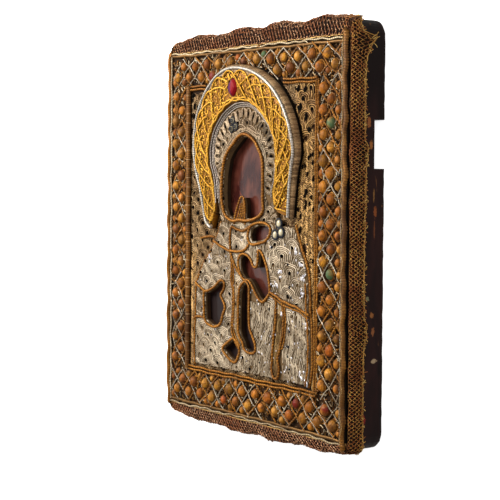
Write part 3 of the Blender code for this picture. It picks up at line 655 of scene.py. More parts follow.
class ShaderNet(Net):
    """A material's node network."""

    def __init__(self, name: str) -> None:
        """Start a material with its Principled shader."""
        self.material = bpy.data.materials.new(name)
        self.material.use_nodes = True
        super().__init__(self.material.node_tree)
        self.shader = self.tree.nodes["Principled BSDF"]
        self.place = self.tree.nodes.new("ShaderNodeTexCoord").outputs["Object"]

    def set(self, **values: Any) -> None:
        """Link a socket or set a value on the shader, by input name with _ for a space."""
        for key, value in values.items():
            self.fill(self.shader.inputs[key.replace("_", " ")], value)

    def noise(self, scale: float, detail: float = 3.0, warp: float = 0.0,
              stretch: Optional[Triple] = None) -> Socket:
        """Add noise on the piece's own coordinates, stretched along its axes if asked."""
        place = self.place
        if stretch is not None:
            place = self.add("ShaderNodeMapping", {"Vector": place, "Scale": stretch})
        return self.add("ShaderNodeTexNoise", {"Scale": scale, "Detail": detail, "Distortion": warp,
                                               "Vector": place})

    def attribute(self, name: str) -> Socket:
        """Read a number that the mesh carries."""
        return self.node("ShaderNodeAttribute", {}, attribute_name=name).outputs["Fac"]

    def ramp(self, value: Socket, *stops: tuple[float, Color]) -> Socket:
        """Turn a number into a colour through the given stops."""
        node = self.node("ShaderNodeValToRGB", {"Fac": value})
        marks = node.color_ramp.elements
        while len(marks) < len(stops):
            marks.new(0.5)
        for mark, (position, color) in zip(marks, stops):
            mark.position, mark.color = position, (*color, 1.0)
        return node.outputs["Color"]

    def span(self, value: Socket, low: float, high: float, start: float = 0.0, end: float = 1.0) -> Socket:
        """Map a number from one range on to another."""
        return self.add("ShaderNodeMapRange", {"Value": value, "From Min": low, "From Max": high,
                                               "To Min": start, "To Max": end})

    def mix(self, share: Any, first: Any, second: Any) -> Socket:
        """Blend two colours, each a socket or a plain colour."""
        first, second = ((*c, 1.0) if isinstance(c, tuple) else c for c in (first, second))
        return self.node("ShaderNodeMix", {0: share, 6: first, 7: second}, data_type="RGBA").outputs[2]

    def crevice(self, reach: float) -> Socket:
        """Return how open the surface is nearby, from 0 in a crevice to 1 on a ridge."""
        return self.node("ShaderNodeAmbientOcclusion", {"Distance": reach}, samples=4).outputs["AO"]

    def axis(self, name: str) -> Socket:
        """Return one of the piece's own coordinates, X, Y or Z, in metres."""
        return self.node("ShaderNodeSeparateXYZ", {0: self.place}).outputs[name]

    def spot(self, middle: Triple, radii: Triple) -> Socket:
        """Return 1 inside a ragged mark on the piece, given in millimetres, and 0 outside it."""
        away = self.vector("SUBTRACT", self.place, [value * MM for value in middle])
        away = self.vector("LENGTH", self.vector("DIVIDE", away, [value * MM for value in radii]))
        ragged = self.math("ADD", away, self.span(self.noise(700.0), 0.3, 0.7, -0.35, 0.35))
        return self.span(ragged, 0.75, 1.1, 0.85, 0.0)

    def bump(self, height: Socket, strength: float, distance: float) -> None:
        """Roughen the surface with a height."""
        inputs = {"Strength": strength, "Distance": distance, "Height": height}
        self.set(Normal=self.add("ShaderNodeBump", inputs))


@dataclass(frozen=True)
class ThreadFinish:
    """Metal thread: each thread has its own tone, with tarnish in patches and painted shade in its crevices."""

    name: str
    dark: Color
    light: Color
    tarnish: Color
    tarnish_share: float = 0.5
    metallic: float = 0.7
    roughness: float = 0.42
    # The colour of the painted shade in crevices and between threads.
    painted_shade: Color = (0.02, 0.011, 0.006)
    grain: float = 1400.0

    def material(self) -> Material:
        """Build the material."""
        net = ShaderNet(self.name)
        tone = net.attribute("tone")
        speck = net.noise(self.grain, 2.0)
        color = net.mix(tone, self.dark, self.light)
        color = net.mix(net.span(speck, 0.52, 0.7, 0.0, 0.5), color, self.light)
        color = net.mix(net.span(speck, 0.34, 0.48, 0.7, 0.0), color, self.dark)
        patch = net.span(net.noise(38.0, 4.0, 0.6), 0.42, 0.66, 0.0, self.tarnish_share)
        color = net.mix(patch, color, self.tarnish)
        # Painted shade: the colour darkens where the surface lies in a crevice or between threads.
        color = net.mix(net.span(net.crevice(0.0022), 0.25, 0.85), self.painted_shade, color)
        net.set(Base_Color=color, Metallic=self.metallic, Roughness=self.roughness, Specular_IOR_Level=0.2)
        net.bump(speck, 0.35, 0.0003)
        return net.material


@dataclass(frozen=True)
class ClothFinish:
    """Ground cloth: a fine weave, dark in the border and the field and lighter under the robe."""

    name: str
    base: Color
    worn: Color
    raised: Color

    def material(self) -> Material:
        """Build the material."""
        net = ShaderNet(self.name)
        weave = net.noise(900.0, 2.0, 0.0, (1.0, 3.0, 1.0))
        patch = net.noise(45.0, 4.0, 0.4)
        color = net.mix(net.span(patch, 0.4, 0.65), self.base, self.worn)
        robe = net.span(net.axis("Z"), (GROUND + 1.1) * MM, (GROUND + 1.7) * MM)
        color = net.mix(robe, color, self.raised)
        color = net.mix(net.span(weave, 0.3, 0.7, 0.0, 0.5), color, self.base)
        net.set(Base_Color=color, Roughness=0.9, Specular_IOR_Level=0.15)
        net.bump(weave, 0.6, 0.0004)
        return net.material


@dataclass(frozen=True)
class LaceFinish:
    """Lace thread: copper along the top and the bottom, ochre gold along the sides, with painted glints, a
    painted shadow beside the side cords and painted shade in its crevices.
    """

    name: str
    ends: tuple[Color, Color] = ((0.1, 0.032, 0.011), (0.88, 0.38, 0.165))
    sides: tuple[Color, Color] = ((0.34, 0.09, 0.02), (1.0, 0.52, 0.14))
    end_glint: Color = (1.0, 0.66, 0.4)
    glint: Color = (1.0, 0.62, 0.13)
    rust: Color = (0.36, 0.105, 0.032)
    # The colour of the painted shadow beside the side cords and of the painted shade in crevices.
    painted_shade: Color = (0.008, 0.004, 0.002)
    side_from: float = 0.117
    # Where the band of painted shadow beside the side cords begins and ends, as |x| in metres.
    cord_shadow_from: Pair = (0.124, 0.125)
    cord_shadow_to: Pair = (0.1287, 0.1297)

    def material(self) -> Material:
        """Build the material."""
        net = ShaderNet(self.name)
        speck = net.noise(900.0, 3.0)
        share = net.span(speck, 0.42, 0.66)
        # Painted highlights: bright glint specks on the copper and on the ochre.
        glints = net.span(speck, 0.57, 0.66)
        copper = net.mix(glints, net.mix(share, *self.ends), self.end_glint)
        ochre = net.mix(glints, net.mix(share, *self.sides), self.glint)
        edge = net.math("ABSOLUTE", net.axis("X"))
        color = net.mix(net.span(edge, self.side_from, self.side_from + 0.007), copper, ochre)
        # Painted shadow: a near-black band on the lace just outside the side cords.
        begun, left = net.span(edge, *self.cord_shadow_from), net.span(edge, *self.cord_shadow_to, 0.9, 0.0)
        color = net.mix(net.math("MULTIPLY", begun, left), color, self.painted_shade)
        patch = net.span(net.noise(55.0, 4.0, 0.6), 0.46, 0.64, 0.0, 0.75)
        color = net.mix(patch, color, self.rust)
        # Painted shade: darker in crevices.
        color = net.mix(net.span(net.crevice(0.0018), 0.35, 0.92), self.painted_shade, color)
        net.set(Base_Color=color, Metallic=0.35, Roughness=0.42, Specular_IOR_Level=0.2)
        net.bump(speck, 0.4, 0.0003)
        return net.material


@dataclass(frozen=True)
class PanelFinish:
    """Old varnished wood: almost black, with rubbed red patches and small marks of its own."""

    name: str
    deep: Color = (0.006, 0.0018, 0.002)
    rubbed: Color = (0.026, 0.0065, 0.006)
    bare: Color = (0.17, 0.07, 0.025)
    roughness: Pair = (0.3, 0.5)
    specular: float = 0.2
    coat: float = 0.0
    dullness: float = 0.0
    glossy_from: float = -0.048
    marks: tuple[tuple[Pair, Pair, Color], ...] = ()
    marked_side: float = 129.1

    def material(self) -> Material:
        """Build the material."""
        net = ShaderNet(self.name)
        broad = net.noise(24.0, 5.0, 0.8, (1.0, 0.6, 2.2))
        dull = net.span(net.axis("Y"), self.glossy_from - 0.006, self.glossy_from + 0.006, self.dullness, 0.0)
        fine = net.noise(260.0, 5.0, 0.3, (1.0, 0.25, 1.0))
        speck = net.noise(95.0, 3.0, 1.2, (1.0, 0.5, 1.6))
        color = net.mix(net.span(broad, 0.42, 0.72, 0.0, 0.85), self.deep, self.rubbed)
        color = net.mix(net.span(fine, 0.58, 0.8, 0.0, 0.5), color, self.rubbed)
        color = net.mix(net.span(speck, 0.7, 0.76, 0.0, 0.75), color, self.bare)
        if self.dullness:
            color = net.mix(net.math("DIVIDE", dull, self.dullness), color, (0.01, 0.0035, 0.003))
        for middle, radii, dye in self.marks:
            color = net.mix(net.spot((self.marked_side, *middle), (3.0, *radii)), color, dye)
        rough = net.math("ADD", net.span(fine, 0.3, 0.7, *self.roughness), dull)
        net.set(Base_Color=color, Roughness=rough, Specular_IOR_Level=self.specular, Coat_Weight=self.coat,
                Coat_Roughness=0.08)
        net.bump(fine, 0.3, 0.0006)
        return net.material


@dataclass(frozen=True)
class BeadFinish:
    """Turned wooden beads: orange to olive and brown, with faint rings, a few stained ones and painted shade in
    their crevices.
    """

    name: str
    woods: tuple[tuple[float, Color], ...] = (
        (0.0, (0.24, 0.066, 0.005)), (0.3, (0.5, 0.165, 0.009)), (0.55, (0.34, 0.15, 0.014)),
        (0.8, (0.64, 0.27, 0.024)), (1.0, (0.44, 0.085, 0.005)))
    stains: tuple[tuple[float, Color], ...] = (
        (1.0, (0.15, 0.01, 0.004)), (2.0, (0.07, 0.12, 0.05)), (3.0, (0.62, 0.44, 0.36)))
    rings: float = 26.0

    def material(self) -> Material:
        """Build the material."""
        net = ShaderNet(self.name)
        stain = net.attribute("stain")
        grain = net.noise(230.0, 4.0, 0.6)
        natural = net.ramp(net.attribute("tone"), *self.woods)
        color = net.mix(net.span(grain, 0.38, 0.66, 0.0, 0.75), natural, (0.1, 0.034, 0.008))
        color = net.mix(net.span(net.noise(110.0, 3.0), 0.52, 0.62, 0.0, 0.6), color, (0.07, 0.02, 0.005))
        wave = net.math("SINE", net.math("MULTIPLY", net.attribute("ring"), self.rings))
        color = net.mix(net.span(wave, 0.2, 1.0, 0.0, 0.28), color, (0.1, 0.035, 0.012))
        blot = net.noise(90.0, 2.0)
        for value, dye in self.stains:
            near = net.math("LESS_THAN", net.math("ABSOLUTE", net.math("SUBTRACT", stain, value)), 0.4)
            color = net.mix(net.math("MULTIPLY", near, net.span(blot, 0.38, 0.52, 0.3, 1.0)), color, dye)
        # Painted shade: darker in crevices, where a bead meets the cloth and the threads round it.
        color = net.mix(net.span(net.crevice(0.006), 0.35, 0.95), (0.03, 0.009, 0.003), color)
        net.set(Base_Color=color, Roughness=net.span(grain, 0.3, 0.7, 0.4, 0.6), Specular_IOR_Level=0.15)
        net.bump(grain, 0.8, 0.001)
        return net.material


@dataclass(frozen=True)
class StoneFinish:
    """A polished stone whose colour changes a little, or from its left side to its right one, where the left
    colour is a painted reflection.
    """

    name: str
    first: Color
    second: Color
    roughness: float
    scale: float = 180.0
    split: Optional[float] = None
    coat: float = 0.6
    specular: float = 0.5

    def material(self) -> Material:
        """Build the material."""
        net = ShaderNet(self.name)
        veil = net.noise(self.scale, 3.0, 0.5)
        share = net.span(veil, 0.35, 0.65)
        # With a split, the first colour, on the left side, is a painted reflection and the second the stone's
        # own colour.
        if self.split is not None:
            share = net.span(net.axis("X"), (self.split - 1.5) * MM, (self.split + 1.0) * MM)
        net.set(Base_Color=net.mix(share, self.first, self.second), Roughness=self.roughness,
                Specular_IOR_Level=self.specular, Coat_Weight=self.coat, Coat_Roughness=0.05)
        net.bump(veil, 0.1, 0.0002)
        return net.material


@dataclass(frozen=True)
class Palette:
    """Every finish of the icon."""

    panel = PanelFinish("varnished_panel", marks=(
        ((-90.0, 8.4), (1.6, 2.6), (0.42, 0.3, 0.18)), ((-45.0, 14.4), (1.5, 1.6), (0.2, 0.19, 0.1)),
        ((-132.0, 17.4), (3.5, 2.0), (0.24, 0.02, 0.015)), ((65.0, 12.4), (3.0, 1.4), (0.34, 0.12, 0.03)),
        ((81.0, 14.4), (4.0, 1.6), (0.3, 0.1, 0.03)), ((-57.0, 10.4), (2.4, 1.6), (0.3, 0.11, 0.03)),
        ((-69.0, 9.4), (3.2, 1.4), (0.26, 0.09, 0.03)), ((29.0, 9.6), (5.0, 0.7), (0.24, 0.11, 0.03)),
        ((17.0, 8.3), (4.0, 1.5), (0.24, 0.065, 0.016)), ((4.0, 8.9), (7.0, 0.6), (0.15, 0.045, 0.014))))
    panel_front = PanelFinish("glossy_panel_front", (0.03, 0.006, 0.005), (0.2, 0.06, 0.036),
                              (0.24, 0.05, 0.02), (0.12, 0.22), 0.14, 0.14, 0.6)
    batten = PanelFinish("plain_batten", (0.035, 0.016, 0.01), (0.1, 0.05, 0.03), (0.18, 0.1, 0.05))
    cover_cloth = ClothFinish("cover_cloth", (0.014, 0.006, 0.002), (0.05, 0.02, 0.006), (0.16, 0.095, 0.042))
    field = ThreadFinish("field_thread", (0.115, 0.056, 0.018), (0.62, 0.405, 0.19), (0.13, 0.06, 0.018),
                         0.6, 0.35, 0.5, (0.022, 0.01, 0.004), 700.0)
    golden = ThreadFinish("golden_thread", (0.12, 0.05, 0.012), (0.92, 0.55, 0.19), (0.14, 0.052, 0.01),
                          0.6, 0.35, 0.5, (0.022, 0.01, 0.004), 700.0)
    robe = ThreadFinish("robe_thread", (0.24, 0.165, 0.095), (0.87, 0.72, 0.52), (0.28, 0.18, 0.09),
                        0.4, 0.25, 0.55, (0.024, 0.012, 0.006), 700.0)
    hood = ThreadFinish("hood_thread", (0.17, 0.11, 0.06), (0.76, 0.58, 0.38), (0.2, 0.11, 0.048),
                        0.5, 0.25, 0.55, (0.02, 0.01, 0.005), 700.0)
    hood_shade = ThreadFinish("shaded_hood_thread", (0.07, 0.045, 0.024), (0.46, 0.35, 0.225),
                              (0.12, 0.065, 0.028), 0.6, 0.25, 0.55, (0.014, 0.007, 0.003), 700.0)
    stole = ThreadFinish("stole_thread", (0.18, 0.095, 0.03), (0.52, 0.33, 0.13), (0.16, 0.07, 0.022),
                         0.5, 0.35, 0.5)
    cord = ThreadFinish("gilt_cord", (0.09, 0.028, 0.003), (0.48, 0.195, 0.024), (0.12, 0.036, 0.004),
                        0.5, 0.5, 0.45, (0.018, 0.008, 0.003), 900.0)
    gimp = ThreadFinish("gimp_cord", (0.055, 0.019, 0.003), (0.31, 0.13, 0.02), (0.05, 0.017, 0.003),
                        0.85, 0.4, 0.5, (0.014, 0.007, 0.003), 700.0)
    shade = ThreadFinish("shaded_thread", (0.05, 0.021, 0.005), (0.23, 0.115, 0.03), (0.045, 0.019, 0.006))
    wall = ThreadFinish("wall_thread", (0.19, 0.11, 0.052), (0.78, 0.52, 0.27), (0.22, 0.115, 0.05),
                        0.5, 0.4, 0.5)
    silver = ThreadFinish("silver_cord", (0.11, 0.075, 0.045), (0.8, 0.7, 0.54), (0.22, 0.14, 0.07),
                          0.5, 0.6, 0.36, (0.014, 0.008, 0.004), 900.0)
    purl = ThreadFinish("white_purl", (0.022, 0.014, 0.009), (0.84, 0.79, 0.7), (0.3, 0.22, 0.15),
                        0.35, 0.45, 0.4, (0.014, 0.008, 0.004), 900.0)
    mauve = ThreadFinish("mauve_silver", (0.15, 0.115, 0.095), (0.7, 0.61, 0.52), (0.2, 0.13, 0.08),
                         0.4, 0.6, 0.38)
    cream = ThreadFinish("cream_cord", (0.22, 0.145, 0.07), (0.86, 0.7, 0.45), (0.2, 0.11, 0.045),
                         0.5, 0.4, 0.45)
    gold = ThreadFinish("gold_bullion", (0.46, 0.2, 0.01), (0.81, 0.47, 0.064), (0.4, 0.16, 0.01),
                        0.3, 0.6, 0.36, (0.08, 0.024, 0.003))
    curl = ThreadFinish("gold_curl", (0.27, 0.105, 0.005), (0.92, 0.49, 0.05), (0.26, 0.09, 0.006),
                        0.4, 0.5, 0.42, (0.04, 0.012, 0.001), 900.0)
    padding = ThreadFinish("halo_padding", (0.24, 0.09, 0.005), (0.55, 0.26, 0.02), (0.16, 0.055, 0.004),
                           0.4, 0.3, 0.5, (0.018, 0.007, 0.001), 900.0)
    lace = LaceFinish("lace_thread")
    lace_ground = ClothFinish("lace_ground", (0.005, 0.002, 0.001), (0.02, 0.008, 0.004), (0.03, 0.013, 0.006))
    hem = ThreadFinish("hem_thread", (0.46, 0.19, 0.025), (1.0, 0.68, 0.22), (0.26, 0.09, 0.014),
                       0.35, 0.4, 0.34)
    ink = ThreadFinish("dark_thread", (0.006, 0.008, 0.014), (0.03, 0.035, 0.05), (0.01, 0.01, 0.012),
                       0.3, 0.1, 0.5)
    # Near-black: painted shade in the holes, and painted shadow at the halo wall's foot and beside the outer
    # thick cord.
    pit = ThreadFinish("eyelet_shade", (0.004, 0.003, 0.002), (0.012, 0.008, 0.006), (0.005, 0.004, 0.003),
                       0.3, 1.0, 0.9)
    glass = StoneFinish("dark_glass", (0.004, 0.005, 0.01), (0.012, 0.013, 0.02), 0.15)
    bead = BeadFinish("bead_wood")
    # The red stone's purple left side is a painted reflection; its red right side is its own colour.
    ruby = StoneFinish("red_stone", (0.075, 0.006, 0.05), (0.24, 0.001, 0.005), 0.6, 90.0, -14.2, 0.0, 0.15)
    pale = StoneFinish("pale_stone", (0.62, 0.55, 0.36), (0.42, 0.34, 0.2), 0.25)
    # Bright knobs painted as highlights on the robe.
    painted_glint = StoneFinish("painted_glint", (0.6, 0.57, 0.58), (0.36, 0.33, 0.36), 0.25)


class Dresser:
    """Builds each material once, lays threads and cords, and holds the shared node groups."""

    def __init__(self) -> None:
        """Start with the node groups and no materials."""
        self.thread, self.twist, self.gimp = thread_tree(), twist_tree(2), gimp_tree()
        self.stitch, self.bead = stitch_tree(), bead_tree()
        self.relief = Relief("embroidered_cover")
        self._made: dict[str, Material] = {}

    def finish(self, finish: Any) -> Material:
        """Return the material of a finish."""
        if finish.name not in self._made:
            self._made[finish.name] = finish.material()
        return self._made[finish.name]

    def threads(self, name: str, runs: Routes, finish: Any, radius: float, sides: int = 4, seed: int = 1,
                closed: bool = False) -> Piece:
        """Lay plain thread along the runs and return the piece."""
        return self.thread.grow(name, lines_object(runs, closed), self.finish(finish), radius=radius * MM,
                                sides=sides, seed=seed)

    def twisted(self, name: str, runs: Routes, finish: Any, half: float, lay: float, seed: int = 1,
                closed: bool = False, flat: float = 1.0) -> Piece:
        """Lay a twisted two-strand cord of a half width along the runs and return the piece."""
        strand = half * 0.56
        return self.twist.grow(name, lines_object(runs, closed), self.finish(finish), strand=strand * MM,
                               across=(half - strand) * MM, upward=(half - strand) * flat * MM,
                               lay=lay * MM, station=lay * MM / 4.4, seed=seed)

    def wrapped(self, name: str, runs: Routes, finish: Any, half_width: float, half_height: float,
                rib: float, seed: int = 1) -> Piece:
        """Lay a ribbed wrapped cord along the runs and return the piece."""
        return self.gimp.grow(name, lines_object(runs), self.finish(finish), half_width=half_width * MM,
                              half_height=half_height * MM, rib=rib * MM, seed=seed)

    def stitches(self, name: str, runs: Routes, finish: Any, pitch: float, half_width: float,
                 half_height: float, radius: float) -> Piece:
        """Sew couching stitches over a cord along the runs and return the piece."""
        return self.stitch.grow(name, lines_object(runs), self.finish(finish), pitch=pitch * MM,
                                half_width=half_width * MM, half_height=half_height * MM, radius=radius * MM)


# ---- outlines shared


class Outline:
    """The routes that the construction lays down, repeated here for the dressing."""

    HALO_OUTER = [(-51.5, 1), (-60, 6), (-64, 18), (-68, 34), (-74, 50), (-76.5, 70), (-72.5, 92), (-60, 111),
                  (-41, 125), (-20, 130), (4, 127.5), (28, 119), (48, 105), (63, 85), (69.5, 63), (65.5, 46),
                  (62.5, 30), (60.5, 12)]
    HALO_INNER = [(-47, 11.5), (-44, 19), (-44.5, 30), (-46.5, 42), (-51.8, 54), (-51.5, 68), (-47, 80),
                  (-36.5, 91), (-23, 99), (-10, 101.6), (4, 101), (18, 96), (31, 86.5), (41, 75), (45.5, 60),
                  (43.5, 44), (40, 28), (43, 16.5)]
    FIGURE = {
        "robe_left": [(-42.5, 7), (-46, -1), (-52.5, -8.5), (-58.5, -17.5), (-68, -25.5), (-76.5, -36),
                      (-80.5, -42), (-82, -50), (-83, -66), (-83.8, -82), (-84.2, -98), (-84.5, -113)],
        "robe_right": [(63.5, 6), (66.5, 0), (71, -9.5), (75, -16), (79.5, -24), (82, -36), (83, -49.5),
                       (84.5, -65), (86, -81), (86, -95), (84.5, -105), (82, -113)],
        "collar": [(-52.5, -8.5), (-42, -12), (-32, -15), (-24, -16.5), (-13, -16.2), (-5, -15), (2, -10)],
        "neck": [(-25, -16.5), (-26, -4), (-23.5, 2.7), (-16, 1.3), (-8, 0.3), (2, 3.5)],
        "stole": [(-25.5, -16.5), (-23, -24), (-23.5, -39), (-20.5, -50), (-21.2, -63), (-22.5, -79),
                  (-18.5, -86), (-12, -93)],
        "arm": [(-24.3, -19), (-17.8, -28.5), (-10.3, -34.3)],
        "lapel": [(32, -45.5), (40, -47.5), (49, -51), (60, -53.5), (70, -55), (84, -59.5)],
        "ribbon": [(41, -48), (40.2, -65), (37.8, -80), (36, -95), (35.2, -104), (38, -110.5), (43.5, -110),
                   (45, -103), (43.5, -96), (47, -87), (50.5, -76), (51, -63), (49.5, -51.5)],
        "cuff_upper": [(-81, -44), (-72, -48), (-65, -51)],
        "cuff_lower": [(-83.3, -75.5), (-78, -72.5), (-65, -73)],
        "shoulder_line": [(-74.5, -7.5), (-64, -6), (-53.5, -6)],
    }
    FACE = [(-1, 76), (-10, 74.5), (-18, 69), (-25, 64), (-31, 57), (-34.5, 45), (-35.5, 30), (-34.5, 18),
            (-30, 11), (-21, 7.8), (-10.5, 8.8), (1, 8.4), (15.5, 11.2), (24, 16.5), (24.8, 25), (25, 40),
            (24, 55), (19, 63.5), (11, 71.5)]
    FACE_TAB = [(-20, 5.5), (-17.2, 14), (-12.8, 22), (-10, 26.4), (-6, 26.6), (-4, 21), (-3.8, 5.5)]
    TAB_CORDS = ([(-16.5, 7), (-13.8, 14), (-10.4, 21.5)], [(-13.2, 7), (-10.8, 14), (-8.4, 22.5)],
                 [(-10, 7), (-8.2, 14), (-6.6, 23.5)], [(-6.8, 7), (-5.8, 14), (-5.6, 21)])
    HAND = [(0.5, -2.5), (4.5, 4.2), (16, 7.2), (26, 6.8), (32, 4.0), (31.5, -1.5), (25.5, -6.7),
            (16, -8.9), (8, -10), (2.5, -8.5)]
    SLEEVE = [(-13, -22), (-8, -18), (-0.5, -18.7), (5, -22), (9, -27), (13.5, -27), (15, -21),
              (15.5, -14.5), (20, -15.5), (24.5, -21), (28, -27), (30.3, -35), (32, -45.5), (27, -51),
              (21.5, -54), (16.5, -52), (11, -47), (6.5, -42), (2, -38.5), (-5, -38), (-10, -34), (-12.8, -28)]
    SLIT = [(-9.5, -43), (-12.5, -50), (-13, -63), (-13, -78), (-10.5, -84), (-6.5, -88), (-4, -93),
            (1.5, -95), (8, -95.2), (12, -93), (12, -88), (8, -81.5), (3.8, -75.5), (2.6, -65), (2.6, -54),
            (2.2, -43), (-3, -39.5)]
    BOOK = [(-66, -52), (-58.5, -50), (-49, -46), (-41, -41), (-35, -41.5), (-34.8, -47), (-39.5, -52.5),
            (-36, -56.8), (-33, -62), (-36.5, -68.5), (-39.5, -75), (-45, -78.3), (-54.5, -78.8),
            (-64.5, -74.5), (-66, -63)]
    LOZENGE = [(-36.5, -95.7), (-28, -89.5), (-20, -86), (-13.5, -90), (-11, -95), (-13.5, -101),
               (-18.5, -105), (-28, -102)]
    RIMS = (HAND, SLEEVE, SLIT, BOOK, LOZENGE)


def halo_outline() -> Route:
    """Return the halo's whole outline, coarsely."""
    return np.concatenate([smooth(Outline.HALO_OUTER, 3.0), smooth(Outline.HALO_INNER, 3.0)[::-1]])


# ---- panel


@dataclass
class Panel:
    """The wooden panel with its batten grooves, worn along the back edge."""

    half_width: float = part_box("icon_board")[1].x / MM
    half_height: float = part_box("icon_board")[1].y / MM
    corner: float = 13.0
    bevel: float = 1.2
    wear: float = 0.45
    groove_depth: float = 9.5
    groove_half: float = 17.5
    groove_length: float = 238.0
    groove_rows: tuple[Pair, ...] = ((65.5, 1.0), (-76.0, -1.0))
    front_share: float = 0.9

    def ring(self, height: float, inset: float, wear: float) -> Route:
        """Return the panel's outline at one height, pulled in and worn unevenly."""
        arcs = corner_arcs((self.half_width, self.half_height), self.corner, self.corner - inset, 8)
        sides = []
        for arc, following in zip(arcs, arcs[1:] + arcs[:1]):
            sides += [arc, arc[-1] + (following[0] - arc[-1]) * np.arange(1, 60)[:, None] / 60]
        flat = np.concatenate(sides)
        rough = 0.5 + 0.5 * np.sin(flat[:, 0] * 0.31 + 1.7 * np.sin(flat[:, 1] * 0.11 + height * 0.4))
        rough *= 0.6 + 0.4 * np.sin(flat[:, 1] * 0.83 + flat[:, 0] * 0.57)
        return level(flat + side_of(flat, closed=True) * (wear * np.abs(rough))[:, None], height)

    def cut_groove(self, panel: Piece, row: float, side: float) -> None:
        """Cut one batten groove, open at one side, into the panel's back."""
        low, high = sorted((side * (self.half_width + 5.0), side * (self.half_width - self.groove_length)))
        outline = np.array([(low, row - self.groove_half), (high, row - self.groove_half),
                            (high, row + self.groove_half), (low, row + self.groove_half)])
        rings = [level(outline, z) for z in (-5.0, self.groove_depth)]
        cutter = mesh_object("groove", *loft(rings), panel.data.materials[0], False)
        cut = panel.modifiers.new("cut", "BOOLEAN")
        cut.operation, cut.solver, cut.object = "DIFFERENCE", "EXACT", cutter
        panel.data = evaluated(panel)
        bpy.data.objects.remove(cutter)

    def build(self, dress: Dresser) -> None:
        """Make the panel, cut its grooves and finish it with its batten."""
        levels = ((0.0, 0.5, 1.6), (0.6, 0.1, 1.2), (2.0, 0.0, 0.7), (5.0, 0.0, 0.4), (9.9, 0.0, 0.3),
                  (15.0, 0.0, 0.3), (21.0, 0.0, 0.1), (BOARD_TOP - self.bevel, 0.0, 0.0),
                  (BOARD_TOP, self.bevel, 0.0))
        rings = [self.ring(z, inset, share * self.wear) for z, inset, share in levels]
        panel = mesh_object("icon_panel", *loft(rings), dress.finish(Palette.panel), False)
        for row, side in self.groove_rows:
            self.cut_groove(panel, row, side)
        panel.data.materials.append(dress.finish(Palette.panel_front))
        for face in panel.data.polygons:
            if face.normal.z > self.front_share and face.center.z > self.groove_depth * 2.0 * MM:
                face.material_index = 1
        place(panel, "dark_wood", "icon_board")
        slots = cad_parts["lower_batten"].data.materials
        slots.clear()
        slots.append(dress.finish(Palette.batten))


# ---- cover


@dataclass(frozen=True)
class Fans:
    """Nested arches of couched thread in staggered rows, with a hole under each."""

    reach: float
    hole: float
    step: float
    rise: float
    leg: float
    turn: float
    wander: float
    seed: int
    wide: float = 1.55
    swing: float = 12.0
    spread: float = 0.12

    def moved(self, points: Route) -> Route:
        """Return points on the uneven lines that a hand follows."""
        return waver(waver(points, self.wander, 8.0, self.seed), 2.4, 24.0, self.seed + 1)

    def routes(self, low: Pair, high: Pair) -> tuple[list[Route], Route]:
        """Fill a box with arches.

        Args:
            low: The box's lower left corner.
            high: Its upper right corner.

        Returns:
            One flat route for each visible stretch of an arch, and the middles of the holes.
        """
        middle = np.array([(low[0] + high[0]) / 2.0, (low[1] + high[1]) / 2.0])
        span = math.hypot(high[0] - low[0], high[1] - low[1]) / 2.0 + self.reach
        axes = np.array([[self.wide], [1.0]]) * turned(math.radians(self.turn))
        pitch = 2.0 * self.reach
        columns, rows = int(span / pitch / self.wide) + 1, int(span / self.rise) + 1
        rng = np.random.default_rng(self.seed)
        runs, eyes = [], []
        for j in range(-rows, rows + 1):
            for i in range(-columns, columns + 1):
                centre = np.array([i * pitch + (self.reach if j % 2 else 0.0), j * self.rise])
                here = middle + centre @ axes
                if not (low[0] - 8 < here[0] < high[0] + 8 and low[1] - 8 < here[1] < high[1] + 8):
                    continue
                shift = rng.uniform(-0.6, 0.6, 2)
                size = rng.uniform(0.97, 0.97 + self.spread)
                stretch = rng.uniform(0.85, 1.15)
                lean = turned(math.radians(rng.uniform(-self.swing, self.swing)))
                if self.visible(centre[None] + shift, centre)[0]:
                    eyes.append(middle + (centre + shift) @ axes)
                for radius in (0.0, *np.arange(self.hole, self.reach + 0.3, self.step) * size):
                    arch = resample(self.arch(radius, stretch) @ lean + centre + shift, 1.0)
                    for run in np.split(arch, np.where(~self.visible(arch, centre))[0]):
                        kept = run[self.visible(run, centre)] if len(run) else run
                        if len(kept) > 3:
                            runs.append(self.moved(middle + kept @ axes))
        return runs, self.moved(np.array(eyes))

    def arch(self, radius: float, stretch: float) -> Route:
        """Return one arch with its legs, or the short thread under the hole for no radius."""
        if radius == 0.0:
            return np.array([[0.0, -self.leg], [0.0, -self.hole - 0.3]])
        sweep = np.linspace(0.0, math.pi, max(5, int(math.pi * radius * self.wide / 1.25)))
        dome = np.stack([np.cos(sweep) * radius, np.sin(sweep) * radius * stretch], axis=1)
        return np.concatenate([[[radius, -self.leg]], dome, [[-radius, -self.leg]]])

    def visible(self, points: Route, centre: Route) -> Route:
        """Say which points aren't covered by the fans of the rows in front."""
        shown = np.ones(len(points), bool)
        rim = self.reach - 0.5 * self.step
        for row, places in ((1, (-1.0, 1.0)), (2, (-2.0, 0.0, 2.0))):
            for dx in places:
                away = points - (centre + np.array([dx * self.reach, -row * self.rise]))
                dome = (np.hypot(away[:, 0], away[:, 1]) < rim) & (away[:, 1] >= 0.0)
                legs = (np.abs(away[:, 0]) < rim) & (away[:, 1] < 0.0) & (away[:, 1] > -self.leg)
                shown &= ~(dome | legs)
        return shown


